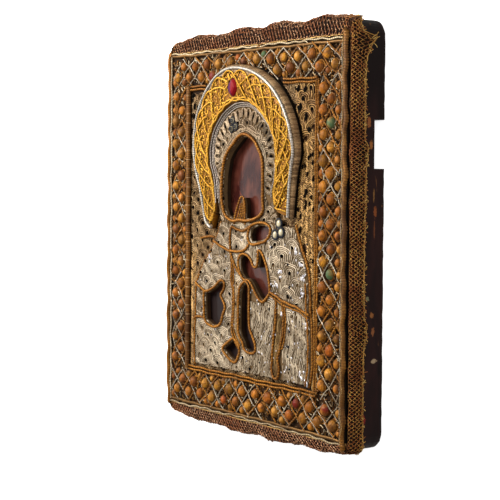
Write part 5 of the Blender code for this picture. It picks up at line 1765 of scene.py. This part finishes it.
@dataclass
class Halo:
    """The padded horseshoe: its gold ground, cells of bullion, ribbed wall and silver cords."""

    base: float = GROUND + 0.3
    ledge: float = GROUND + 7.2
    edge: float = GROUND + 7.6
    crown: float = GROUND + 8.9
    ledge_width: float = 3.0
    usual_width: float = 26.0
    usual_length: float = 330.0
    end_drop: float = 2.4
    end_share: float = 0.22
    stations: int = 320
    cell: float = 0.06
    cusp_depth: float = 0.16
    curl_steps: Pair = (0.0066, 0.115)
    curl_gaps: float = 0.14
    wall_threads: int = 300
    stone: Pair = (-14.5, 113.0)
    stone_radius: float = 6.4
    stone_top: float = GROUND + 11.6
    stone_foot: float = GROUND + 7.3

    def __post_init__(self) -> None:
        """Lay out the two edges at matching stations, and the cusps between the outer scallops."""
        self.outer = spaced(smooth(Outline.HALO_OUTER, 0.5), self.stations)
        self.inner = spaced(smooth(Outline.HALO_INNER, 0.5), self.stations)
        even = np.arange(0.03, 0.975, self.cell)
        self.cusps = even + np.random.default_rng(29).uniform(-0.004, 0.004, len(even))

    def drop(self, share: float) -> float:
        """Return how far the halo lies below its full height at a share of its length."""
        return self.end_drop * (1.0 - smooth_step(0.0, self.end_share, min(share, 1.0 - share)))

    def ends(self, along: float) -> tuple[Route, Route]:
        """Return the points of the outer and the inner edge at a share of the way round."""
        k = clamp(along) * (self.stations - 1)
        i = min(int(k), self.stations - 2)
        return tuple(edge[i] + (edge[i + 1] - edge[i]) * (k - i) for edge in (self.outer, self.inner))

    def start(self, along: float) -> float:
        """Return the share across at which the gold begins."""
        a, b = self.ends(along)
        return self.ledge_width / max(float(np.linalg.norm(b - a)), 1.0)

    def point(self, along: float, across: float, lift: float = 0.0) -> Route:
        """Return a point on the halo's top.

        Args:
            along: The share of the way round, from the left foot to the right one.
            across: The share of the way from the outer edge to the inner one.
            lift: The height over the padding.

        Returns:
            The point (x, y, z).
        """
        a, b = self.ends(along)
        start = self.start(along)
        u = clamp((across - start) / (1.0 - start))
        dome = self.edge - 0.1 + (self.crown - self.edge) * math.sin(math.pi * u) ** 0.6
        z = self.ledge if across <= start else dome
        return np.array([*(a + (b - a) * across), z - self.drop(along) + lift])

    def line(self, points: Points, lift: float, step: float = 1.0) -> Route:
        """Return a route on the halo from points (along, across)."""
        knots = np.asarray(points, float)
        fine = []
        for a, b in zip(knots, knots[1:]):
            along, across = np.abs(b - a) * (self.usual_length, self.usual_width) / step
            steps = max(2, int(along + across))
            fine += [a + (b - a) * k / steps for k in range(steps)]
        return np.array([self.point(along, across, lift) for along, across in (*fine, knots[-1])])

    def clear_of_stone(self, route: Route) -> list[Route]:
        """Cut a route where the large stone sits."""
        away = np.hypot(route[:, 0] - self.stone[0], route[:, 1] - self.stone[1]) > self.stone_radius + 0.7
        return [route[run] for run in stretches(away) if len(run) > 2 and away[run[0]]]

    def outlines(self) -> list[Route]:
        """Return the raised outlines of the cells: scallops outside, diagonals across, a rail inside."""
        rng = np.random.default_rng(30)
        shares = np.linspace(0.0, 1.0, 8)
        rails = [self.line([(a + (b - a) * u, self.start(a) + 0.015
                             + self.cusp_depth * (1.0 - math.sin(math.pi * u) ** 0.7)) for u in shares], 0.9)
                 for a, b in zip(self.cusps, self.cusps[1:])]
        for k, s in enumerate(self.cusps):
            low, high = self.start(s) + self.cusp_depth, 0.93
            for way in (-1.0, 1.0):
                reach = way * self.cell * rng.uniform(0.8, 1.1)
                bow = way * rng.uniform(-0.006, 0.01)
                far = high if (way > 0.0) == (s > 0.5) else low + 0.5 * (high - low)
                rails.append(self.line([(s + reach * u + bow * math.sin(math.pi * u), low + (far - low) * u)
                                        for u in shares], 1.0 if way > 0 else 0.7))
            if k % 2 or s > 0.66:
                halfway = s + self.cell * 0.5
                rails.append(self.line([(halfway, low - 0.02), (halfway + 0.006, 0.4)], 0.5))
            if s > 0.66:
                rails.append(self.line([(s + 0.012, 0.5), (s + 0.03, 0.9), (s + 0.04, 0.55)], 0.75))
        for offset, lift in ((0.0, 0.85), (-0.055, 0.6)):
            rails.append(self.line([(s, 0.955 + offset + 0.018 * math.sin(s * 130.0 + offset * 40.0))
                                    for s in np.linspace(0.02, 0.98, 90)], lift))
        for end in (0.012, 0.988):
            rails.append(self.line([(end, self.start(end) + 0.05), (end, 0.93)], 0.8))
        return [run for rail in rails for run in self.clear_of_stone(waver(rail, 0.3, 5.0, 33))]

    def strokes(self) -> list[Route]:
        """Return the short curls of bullion that fill the cells."""
        rng = np.random.default_rng(31)
        made = []
        for s in np.arange(0.02, 0.982, self.curl_steps[0]):
            for t in np.arange(self.start(s) + 0.08, 0.92, self.curl_steps[1]):
                if rng.random() < self.curl_gaps:
                    continue
                x, y = s + rng.uniform(-0.0025, 0.0025), t + rng.uniform(-0.04, 0.04)
                angle, size = rng.uniform(0.0, math.pi), rng.uniform(0.7, 1.3)
                u, v = 0.0042 * size * math.cos(angle), 0.052 * size * math.sin(angle)
                curl = [(x - u, y - v), (x + 0.3 * v * 0.08, y - 0.3 * u * 12.0), (x + u, y + v)]
                made += self.clear_of_stone(self.line(curl, 0.2 + 0.2 * rng.random(), 0.9))
        return made

    def build_pad(self, dress: Dresser) -> None:
        """The padding itself, closed from its foot over the wall and the top to the inner wall."""
        rings = []
        for i, (a, b) in enumerate(zip(self.outer, self.inner)):
            along = i / (self.stations - 1)
            start, drop = self.start(along), self.drop(along)
            across = [0.02, start, *(start + (1.0 - start) * u for u in np.linspace(0.2, 0.98, 9))]
            rings.append(np.array([(*a, self.base), (*a, self.ledge - 0.8 - drop),
                                   *(self.point(along, share) for share in across),
                                   (*b, self.edge - 0.4 - drop), (*b, self.base)]))
        corners, faces = loft(rings)
        faces = [tuple(reversed(face)) for face in faces]
        pad = mesh_object("halo_pad", corners, faces, dress.finish(Palette.padding))
        place(pad, "gold_work", "halo")

    def build_wall(self, dress: Dresser) -> None:
        """Threads laid down both walls side by side and over the margin outside the scallops, and a painted
        shadow along the right wall's foot.
        """
        runs, inner, foot = [], [], []
        for k in range(self.wall_threads):
            along = (k + 0.5) / self.wall_threads
            a, b = self.ends(along)
            width = float(np.linalg.norm(a - b))
            out = (a - b) / width
            top = self.ledge - self.drop(along)
            # On the right side the wall's shadow on the field is painted: a near-black thread along its foot.
            if a[0] > 15.0:
                foot.append(a + out * 1.7)
            scallop = np.interp(along, self.cusps, np.arange(len(self.cusps)), 0.5, 0.5)
            reach = self.ledge_width + 0.2 + 2.6 * (1.0 - abs(math.sin(math.pi * scallop))) ** 1.2
            outside = a + out * 0.55
            runs.append(np.array([(*outside, self.base + 0.3), (*outside, (self.base + top) / 2.0),
                                  (*(a + out * 0.5), top - 0.7), (*(a - out * 0.5), top + 0.45),
                                  (*(a - out * 1.8), top + 0.5), self.point(along, reach / width, 0.35)]))
            if k % 2:
                low = self.edge - 0.5 - self.drop(along)
                inner.append(np.array([(*(b - out * 0.4), self.base + 4.0 - self.drop(along)),
                                       (*(b - out * 0.45), (self.base + low) / 2.0 + 2.0),
                                       (*(b - out * 0.2), low + 0.3)]))
        shade = dress.relief.follow(np.array(foot), 0.9)
        parts = [dress.threads("wall_threads", runs, Palette.wall, 0.62, 5, 21),
                 dress.threads("wall_foot_shadow", [shade], Palette.pit, 1.2, 6, 23)]
        place(join("halo_wall_threads", parts), "gold_cord")
        place(dress.threads("halo_inner_threads", inner, Palette.shade, 0.62, 5, 22), "gold_cord")

    def build_cords(self, dress: Dresser) -> None:
        """The silver cords on the ledge and at the foot of the inner wall."""
        edge = self.line([(s, 1.5 / self.usual_width) for s in np.linspace(0.0, 1.0, 120)], 1.5)
        second = self.line([(s, 3.3 / self.usual_width) for s in np.linspace(0.0, 0.45, 60)], 0.75)
        parts = [dress.wrapped("edge_cord", [edge], Palette.purl, 1.05, 1.0, 1.9),
                 dress.twisted("edge_thread", [second], Palette.mauve, 0.6, 1.8, seed=16)]
        place(join("halo_edge_work", parts), "silver_cord", "halo_edge_cord")
        route = smooth(Outline.HALO_INNER, 1.2)
        foot = dress.relief.follow(shifted(route, -2.5)[12:-12], 1.1)
        parts = [dress.twisted("foot_cord", [foot], Palette.mauve, 1.0, 2.6, seed=16)]
        for away, lift in ((-3.9, 0.7), (-1.3, 2.6)):
            beside = dress.relief.follow(shifted(route, -2.5)[9:-9], lift)
            beside[:, :2] = waver(shifted(route, away)[9:-9], 0.4, 9.0, 12)[:, :2]
            parts.append(dress.twisted("foot_thread", [beside], Palette.mauve, 0.7, 2.2, seed=17))
        place(join("halo_foot_work", parts), "silver_cord", "halo_foot_cord")

    def build_stone(self, dress: Dresser) -> None:
        """The large red stone: cut to an almond, with a flat table."""
        sweep = turns(12)
        bulge = (np.abs(np.cos(sweep)) ** 1.45 + np.abs(np.sin(sweep)) ** 1.45) ** (-1.0 / 1.45)
        radius, height = self.stone_radius, self.stone_top - self.stone_foot
        rings = [oval(*self.stone, radius * 0.98 * share * bulge, radius * 1.12 * share * bulge, sweep,
                      self.stone_foot + height * rise)
                 for share, rise in ((0.86, 0.0), (1.0, 0.3), (0.97, 0.5), (0.74, 0.84), (0.46, 1.0))]
        stone = mesh_object("halo_stone_cut", *loft(rings), dress.finish(Palette.ruby), False)
        place(stone, "red_stone", "halo_stone")

    def build(self, dress: Dresser) -> None:
        """Make the whole halo."""
        self.build_pad(dress)
        self.build_wall(dress)
        place(dress.twisted("halo_outlines", self.outlines(), Palette.gold, 1.0, 2.4, seed=18), "gold_work")
        place(dress.threads("halo_bullion", self.strokes(), Palette.curl, 0.48, 5, 19), "gold_work")
        self.build_cords(dress)
        self.build_stone(dress)


# ---- rosettes


@dataclass
class Rosettes:
    """Small groups of pale stones, each edged with dark thread."""

    shoulder: tuple[tuple[str, float, float], ...] = (
        ("shoulder_stone_left", 39.5, -1.5), ("shoulder_stone_right", 47.5, 0.5),
        ("shoulder_stone_upper", 44.5, 7.2))
    hood: tuple[tuple[str, float, float], ...] = (
        ("hood_stone_left", -21.1, 80.9), ("hood_stone_upper", -19.6, 87.4), ("hood_stone_right", -15.0, 82.4))
    shoulder_radius: float = 2.8
    hood_radius: float = 2.2
    height: float = 2.4

    def stone(self, dress: Dresser, name: str, x: float, y: float, radius: float) -> Route:
        """Make one stone and return the route of the thread round it."""
        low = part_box(name)[0].z / MM
        rings = [oval(x, y, radius * share, radius * share, turns(14), low + self.height * rise)
                 for share, rise in ((0.8, 0.0), (1.0, 0.35), (0.97, 0.62), (0.78, 0.86), (0.45, 1.0))]
        place(mesh_object(name + "_dome", *loft(rings), dress.finish(Palette.pale)), "pale_stone", name)
        return oval(x, y, radius + 0.75, radius + 0.75, turns(18), low + 1.1)

    def build(self, dress: Dresser) -> None:
        """Make both groups and the dark thread round them."""
        rings = [self.stone(dress, *spot, self.shoulder_radius) for spot in self.shoulder]
        knots = [self.stone(dress, *spot, self.hood_radius) for spot in self.hood]
        for name, x, y in self.hood:
            bow = np.stack([x + 1.5 * np.cos(turns(10)), y + 1.4 * np.sin(2.0 * turns(10))], axis=1)
            knots.append(level(bow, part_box(name)[1].z / MM - 0.1))
        parts = [dress.twisted("rings", rings, Palette.ink, 1.05, 2.4, seed=26, closed=True),
                 dress.twisted("knots", knots, Palette.ink, 0.62, 2.0, seed=27, closed=True)]
        place(join("rosette_threads", parts), "pale_stone")


# ---- lace


@dataclass
class Lace:
    """The lace that wraps from the cover over the panel's shoulder on to its sides."""

    half_width: float = 130.5
    half_height: float = 156.5
    corner: float = 8.0
    hem: float = BOARD_TOP - 9.6
    cover_x: float = 127.0
    cover_top: float = 144.3
    cover_bottom: float = -149.4
    top_roll: Points = ((-130, 0.4), (-116, 1.2), (-104, 2.6), (-90, 4.6), (-72, 3.2), (-56, 1.6), (-44, 2.0),
                        (-24, 4.4), (-8, 3.4), (8, 0.6), (24, 3.4), (36, 4.0), (48, 2.4), (64, -0.4), (80, 1.4),
                        (90, 3.2), (104, 1.2), (116, 0.0), (128, -3.2))
    bottom_roll: Points = ((-130, 0.6), (-116, 1.8), (-104, 3.2), (-84, 4.4), (-64, 3.6), (-48, 2.8), (-32, 5.2),
                           (-8, 4.6), (8, 2.4), (24, 5.0), (40, 3.6), (60, 2.0), (72, 1.0), (88, 2.6),
                           (104, 1.0), (128, -1.0))
    right_hem: Points = ((-157, -0.5), (-140, 0.3), (-112, 0.8), (-78, -0.3), (-72, -2.2), (-62, -2.0),
                         (-59, -0.2), (-30, 0.4), (0, 0.0), (30, -0.4), (50, -0.6), (54, -2.2), (64, -2.0),
                         (68, 0.2), (100, 0.8), (122, 0.2), (132, -3.0), (140, -8.5), (142.5, -9.0), (144, 2.0),
                         (150, 5.0), (157, 5.0))
    rows: int = 10
    mesh_step: Pair = (1.25, 1.95)
    thread: float = 0.41
    skin: float = 0.7
    stations: int = 520
    frays: int = 2100
    fray_places: int = 2200
    net_places: int = 4000

    def __post_init__(self) -> None:
        """Split the tables of the hem and of the rolls into their columns."""
        self.hem_rows, self.hem_drops = np.array(self.right_hem, float).T
        self.rolls = {1: np.array(self.top_roll, float).T, -1: np.array(self.bottom_roll, float).T}

    def perimeter(self, count: int) -> tuple[Route, Route]:
        """Return even points of the outline with the directions that point outwards."""
        arcs = corner_arcs((self.half_width, self.half_height), self.corner, self.corner, 12)
        flat = spaced(resample(np.concatenate([*arcs, arcs[0][:1]]), 0.5), count, endpoint=False)
        return flat, -side_of(flat, closed=True)

    def point(self, flat: Route, out: Route, v: float, lift: float) -> Route:
        """Return a point of the lace.

        Args:
            flat: The outline's point.
            out: The direction that points outwards there.
            v: The share across the lace, from the hem on the side to the cover's edge.
            lift: How far the point stands off the lace's own surface.

        Returns:
            The point (x, y, z).
        """
        x, y = flat
        at_end = abs(out[1]) ** 2
        stand = (float(np.interp(x, *self.rolls[1 if y > 0 else -1])) + 0.3 * math.sin(x / 2.9)) * at_end
        stand += 0.35 * (1.0 - at_end) * (math.sin(y / 7.0) + math.sin(y / 3.1 + 1.0))
        hem = self.hem
        if out[0] > 0.0:
            hem += out[0] ** 2 * float(np.interp(y, self.hem_rows, self.hem_drops))
        inner = np.array([clamp(x, -self.cover_x, self.cover_x), clamp(y, self.cover_bottom, self.cover_top)])
        inner[1] -= TOP_SLANT * x * near_top(y)
        stops = (0.0, 0.42, 0.58, 1.0)
        away = [*(flat + out * far for far in (0.1 + 0.35 * stand, 0.3 + stand, 0.9 * stand - 1.1)), inner]
        z = float(np.interp(v, stops, [hem, BOARD_TOP - 1.3, GROUND - 0.4, GROUND + 0.7]))
        moved = np.array([np.interp(v, stops, [a[k] for a in away]) for k in (0, 1)])
        upward = float(np.interp(v, [0.35, 0.75], [0.0, 1.0]))
        return np.array([*(moved + out * lift * (1.0 - upward)), z + lift * upward])

    def build_band(self, dress: Dresser) -> None:
        """The lace's own close ground, a thin closed skin."""
        flat, out = self.perimeter(self.stations)
        shares = np.linspace(0.0, 1.0, 12)
        layers = [(v, 0.0) for v in shares] + [(v, -self.skin) for v in shares[::-1]]
        rings = [np.array([self.point(*spot, v, lift) for spot in zip(flat, out)]) for v, lift in layers]
        band = mesh_object("lace_band", *loft(rings, closed=True), dress.finish(Palette.lace_ground))
        place(band, "lace_thread", "lace_galloon")

    def build_net(self, dress: Dresser) -> None:
        """The net: zigzag rows that meet at their points."""
        rng = np.random.default_rng(41)
        flat, out = self.perimeter(self.net_places)
        stops, way = [0], 0.0
        for i in range(1, len(flat)):
            way += float(np.linalg.norm(flat[i] - flat[i - 1]))
            if way > self.mesh_step[abs(out[i][1]) > 0.7]:
                stops.append(i)
                way = 0.0
        stops = stops[:len(stops) // 2 * 2]
        runs = []
        for r in range(self.rows):
            middle = (r + 0.5) / self.rows
            run = []
            for i, stop in enumerate(stops):
                v = middle + (0.5 if (i + r) % 2 else -0.5) / self.rows + rng.uniform(-0.026, 0.026)
                lump = 0.35 + 0.3 * math.sin(i * 0.13 + r) ** 2 + rng.uniform(-0.22, 0.22)
                run.append(self.point(flat[stop], out[stop], clamp(v), lump))
            runs.append(np.array(run + run[:1]))
        place(dress.threads("lace_net", runs, Palette.lace, self.thread, 4, 44), "lace_thread")

    def build_frays(self, dress: Dresser) -> None:
        """The loose ends along the hem and over the roll, and the torn flare at one corner."""
        rng = np.random.default_rng(47)
        count = self.fray_places
        flat, out = self.perimeter(count)
        along = np.roll(flat, -1, axis=0) - flat
        copper, bright = [], []
        for k in range(self.frays):
            i = int(rng.integers(count))
            at_hem = k % 3 > 0
            v = rng.uniform(*((0.0, 0.12) if k % 9 else (0.1, 0.5)) if at_hem else (0.42, 0.72))
            begin = self.point(flat[i], out[i], v, 0.4)
            torn = flat[i][0] > 120.0 and 128.0 < flat[i][1] < 146.0
            size = rng.uniform(1.2, 3.2) * (1.8 if torn else 1.0) * (1.0 if at_hem else 0.5)
            way = along[i] / np.linalg.norm(along[i]) * rng.uniform(-1.0, 1.0) + out[i] * rng.uniform(0.1, 0.7)
            tip = begin + size * np.array([*way, -rng.uniform(0.1, 0.8) if at_hem else rng.uniform(-0.1, 0.5)])
            bend = (begin + tip) / 2.0 + rng.uniform(-0.4, 0.4, 3)
            (bright if at_hem and rng.random() < 0.6 else copper).append(smooth([begin, bend, tip], 0.8))
        place(dress.threads("lace_frays", copper, Palette.lace, 0.27, 4, 48), "lace_thread")
        rows = []
        for offset, jitter, wide in ((0.01, 0.03, 0.5), (0.97, 0.012, 0.4)):
            wander = np.convolve(rng.normal(0.0, 1.0, count + 8), np.ones(4) / 4.0, "same")[:count]
            run = [self.point(flat[i], out[i], clamp(offset + jitter * wander[i]), wide)
                   for i in range(0, count, 3)]
            rows.append(np.array(run + run[:1]))
        parts = [dress.threads("hem_ends", bright, Palette.hem, 0.3, 4, 49),
                 dress.threads("hem_rows", rows, Palette.hem, 0.45, 4, 50)]
        place(join("lace_hem_threads", parts), "lace_thread")

    def build(self, dress: Dresser) -> None:
        """Make the whole lace."""
        self.build_band(dress)
        self.build_net(dress)
        self.build_frays(dress)


# ---- stage


@dataclass
class Stage:
    """The pale floor, the soft studio light and the camera."""

    camera_place: Triple = (0.918117, 0.030677, 0.620575)
    camera_right: Triple = (0.53972, 0.006161, -0.841822)
    camera_up: Triple = (-0.038242, 0.99912, -0.017206)
    camera_back: Triple = (0.840975, 0.04148, 0.539481)
    lens: float = 100.15
    sensor: float = 36.0
    floor_half: float = 6.0
    floor_glow: float = 0.85
    sky: tuple[float, ...] = (1.0, 0.965, 0.9, 1.0)
    sky_strength: float = 0.36
    target: Triple = (0.0, 0.0, 0.03)

    def build_floor(self) -> None:
        """A plain floor that is almost white."""
        net = ShaderNet("floor_white")
        net.set(Base_Color=net.mix(0.5, (0.92, 0.92, 0.92), (0.94, 0.94, 0.94)), Roughness=0.9,
                Emission_Color=(1.0, 1.0, 1.0, 1.0), Emission_Strength=self.floor_glow)
        half = self.floor_half / MM
        corners = [(-half, -half, -0.4), (half, -half, -0.4), (half, half, -0.4), (-half, half, -0.4)]
        floor = mesh_object("floor", corners, [(0, 1, 2, 3)], net.material, False)
        floor.visible_glossy = floor.visible_diffuse = False

    def add_light(self, name: str, spot: Triple, size: float, power: float,
                  color: Color = (1.0, 1.0, 1.0)) -> None:
        """Add one square soft light that looks at the icon."""
        data = bpy.data.lights.new(name, "AREA")
        data.size, data.energy, data.color = size, power, color
        light = add_object(name, data)
        light.location = spot
        light.rotation_euler = (Vector(self.target) - Vector(spot)).to_track_quat("-Z", "Y").to_euler()

    def build_camera(self) -> None:
        """The camera, which looks down on the lying icon from its right side."""
        data = bpy.data.cameras.new("camera")
        data.lens, data.sensor_width = self.lens, self.sensor
        camera = add_object("camera", data)
        axes = Matrix((self.camera_right, self.camera_up, self.camera_back)).transposed().to_4x4()
        camera.matrix_world = Matrix.Translation(self.camera_place) @ axes
        bpy.context.scene.camera = camera

    def build(self) -> None:
        """Make the floor, the lights and the camera."""
        self.build_floor()
        world = bpy.data.worlds.new("studio")
        world.use_nodes = True
        sky = world.node_tree.nodes["Background"].inputs
        sky["Color"].default_value, sky["Strength"].default_value = self.sky, self.sky_strength
        bpy.context.scene.world = world
        bpy.context.scene.view_settings.view_transform = "Standard"
        self.add_light("key", (-0.54, 0.5, 0.86), 0.5, 21.0, (1.0, 0.98, 0.94))
        self.add_light("panel_light", (-0.95, 0.0, 0.66), 0.5, 0.9)
        self.add_light("fill", (0.95, 0.35, 0.55), 0.8, 5.0)
        self.build_camera()


def main() -> None:
    """Build every sub-assembly in order and report each piece."""
    logging.basicConfig(level=logging.INFO, format="%(name)s %(message)s")
    Stage().build()
    dress = Dresser()
    for part in (Panel(), Cover(), FigureCords(), Border(), Halo(), Rosettes(), Lace()):
        part.build(dress)


if __name__ == "__main__":
    main()
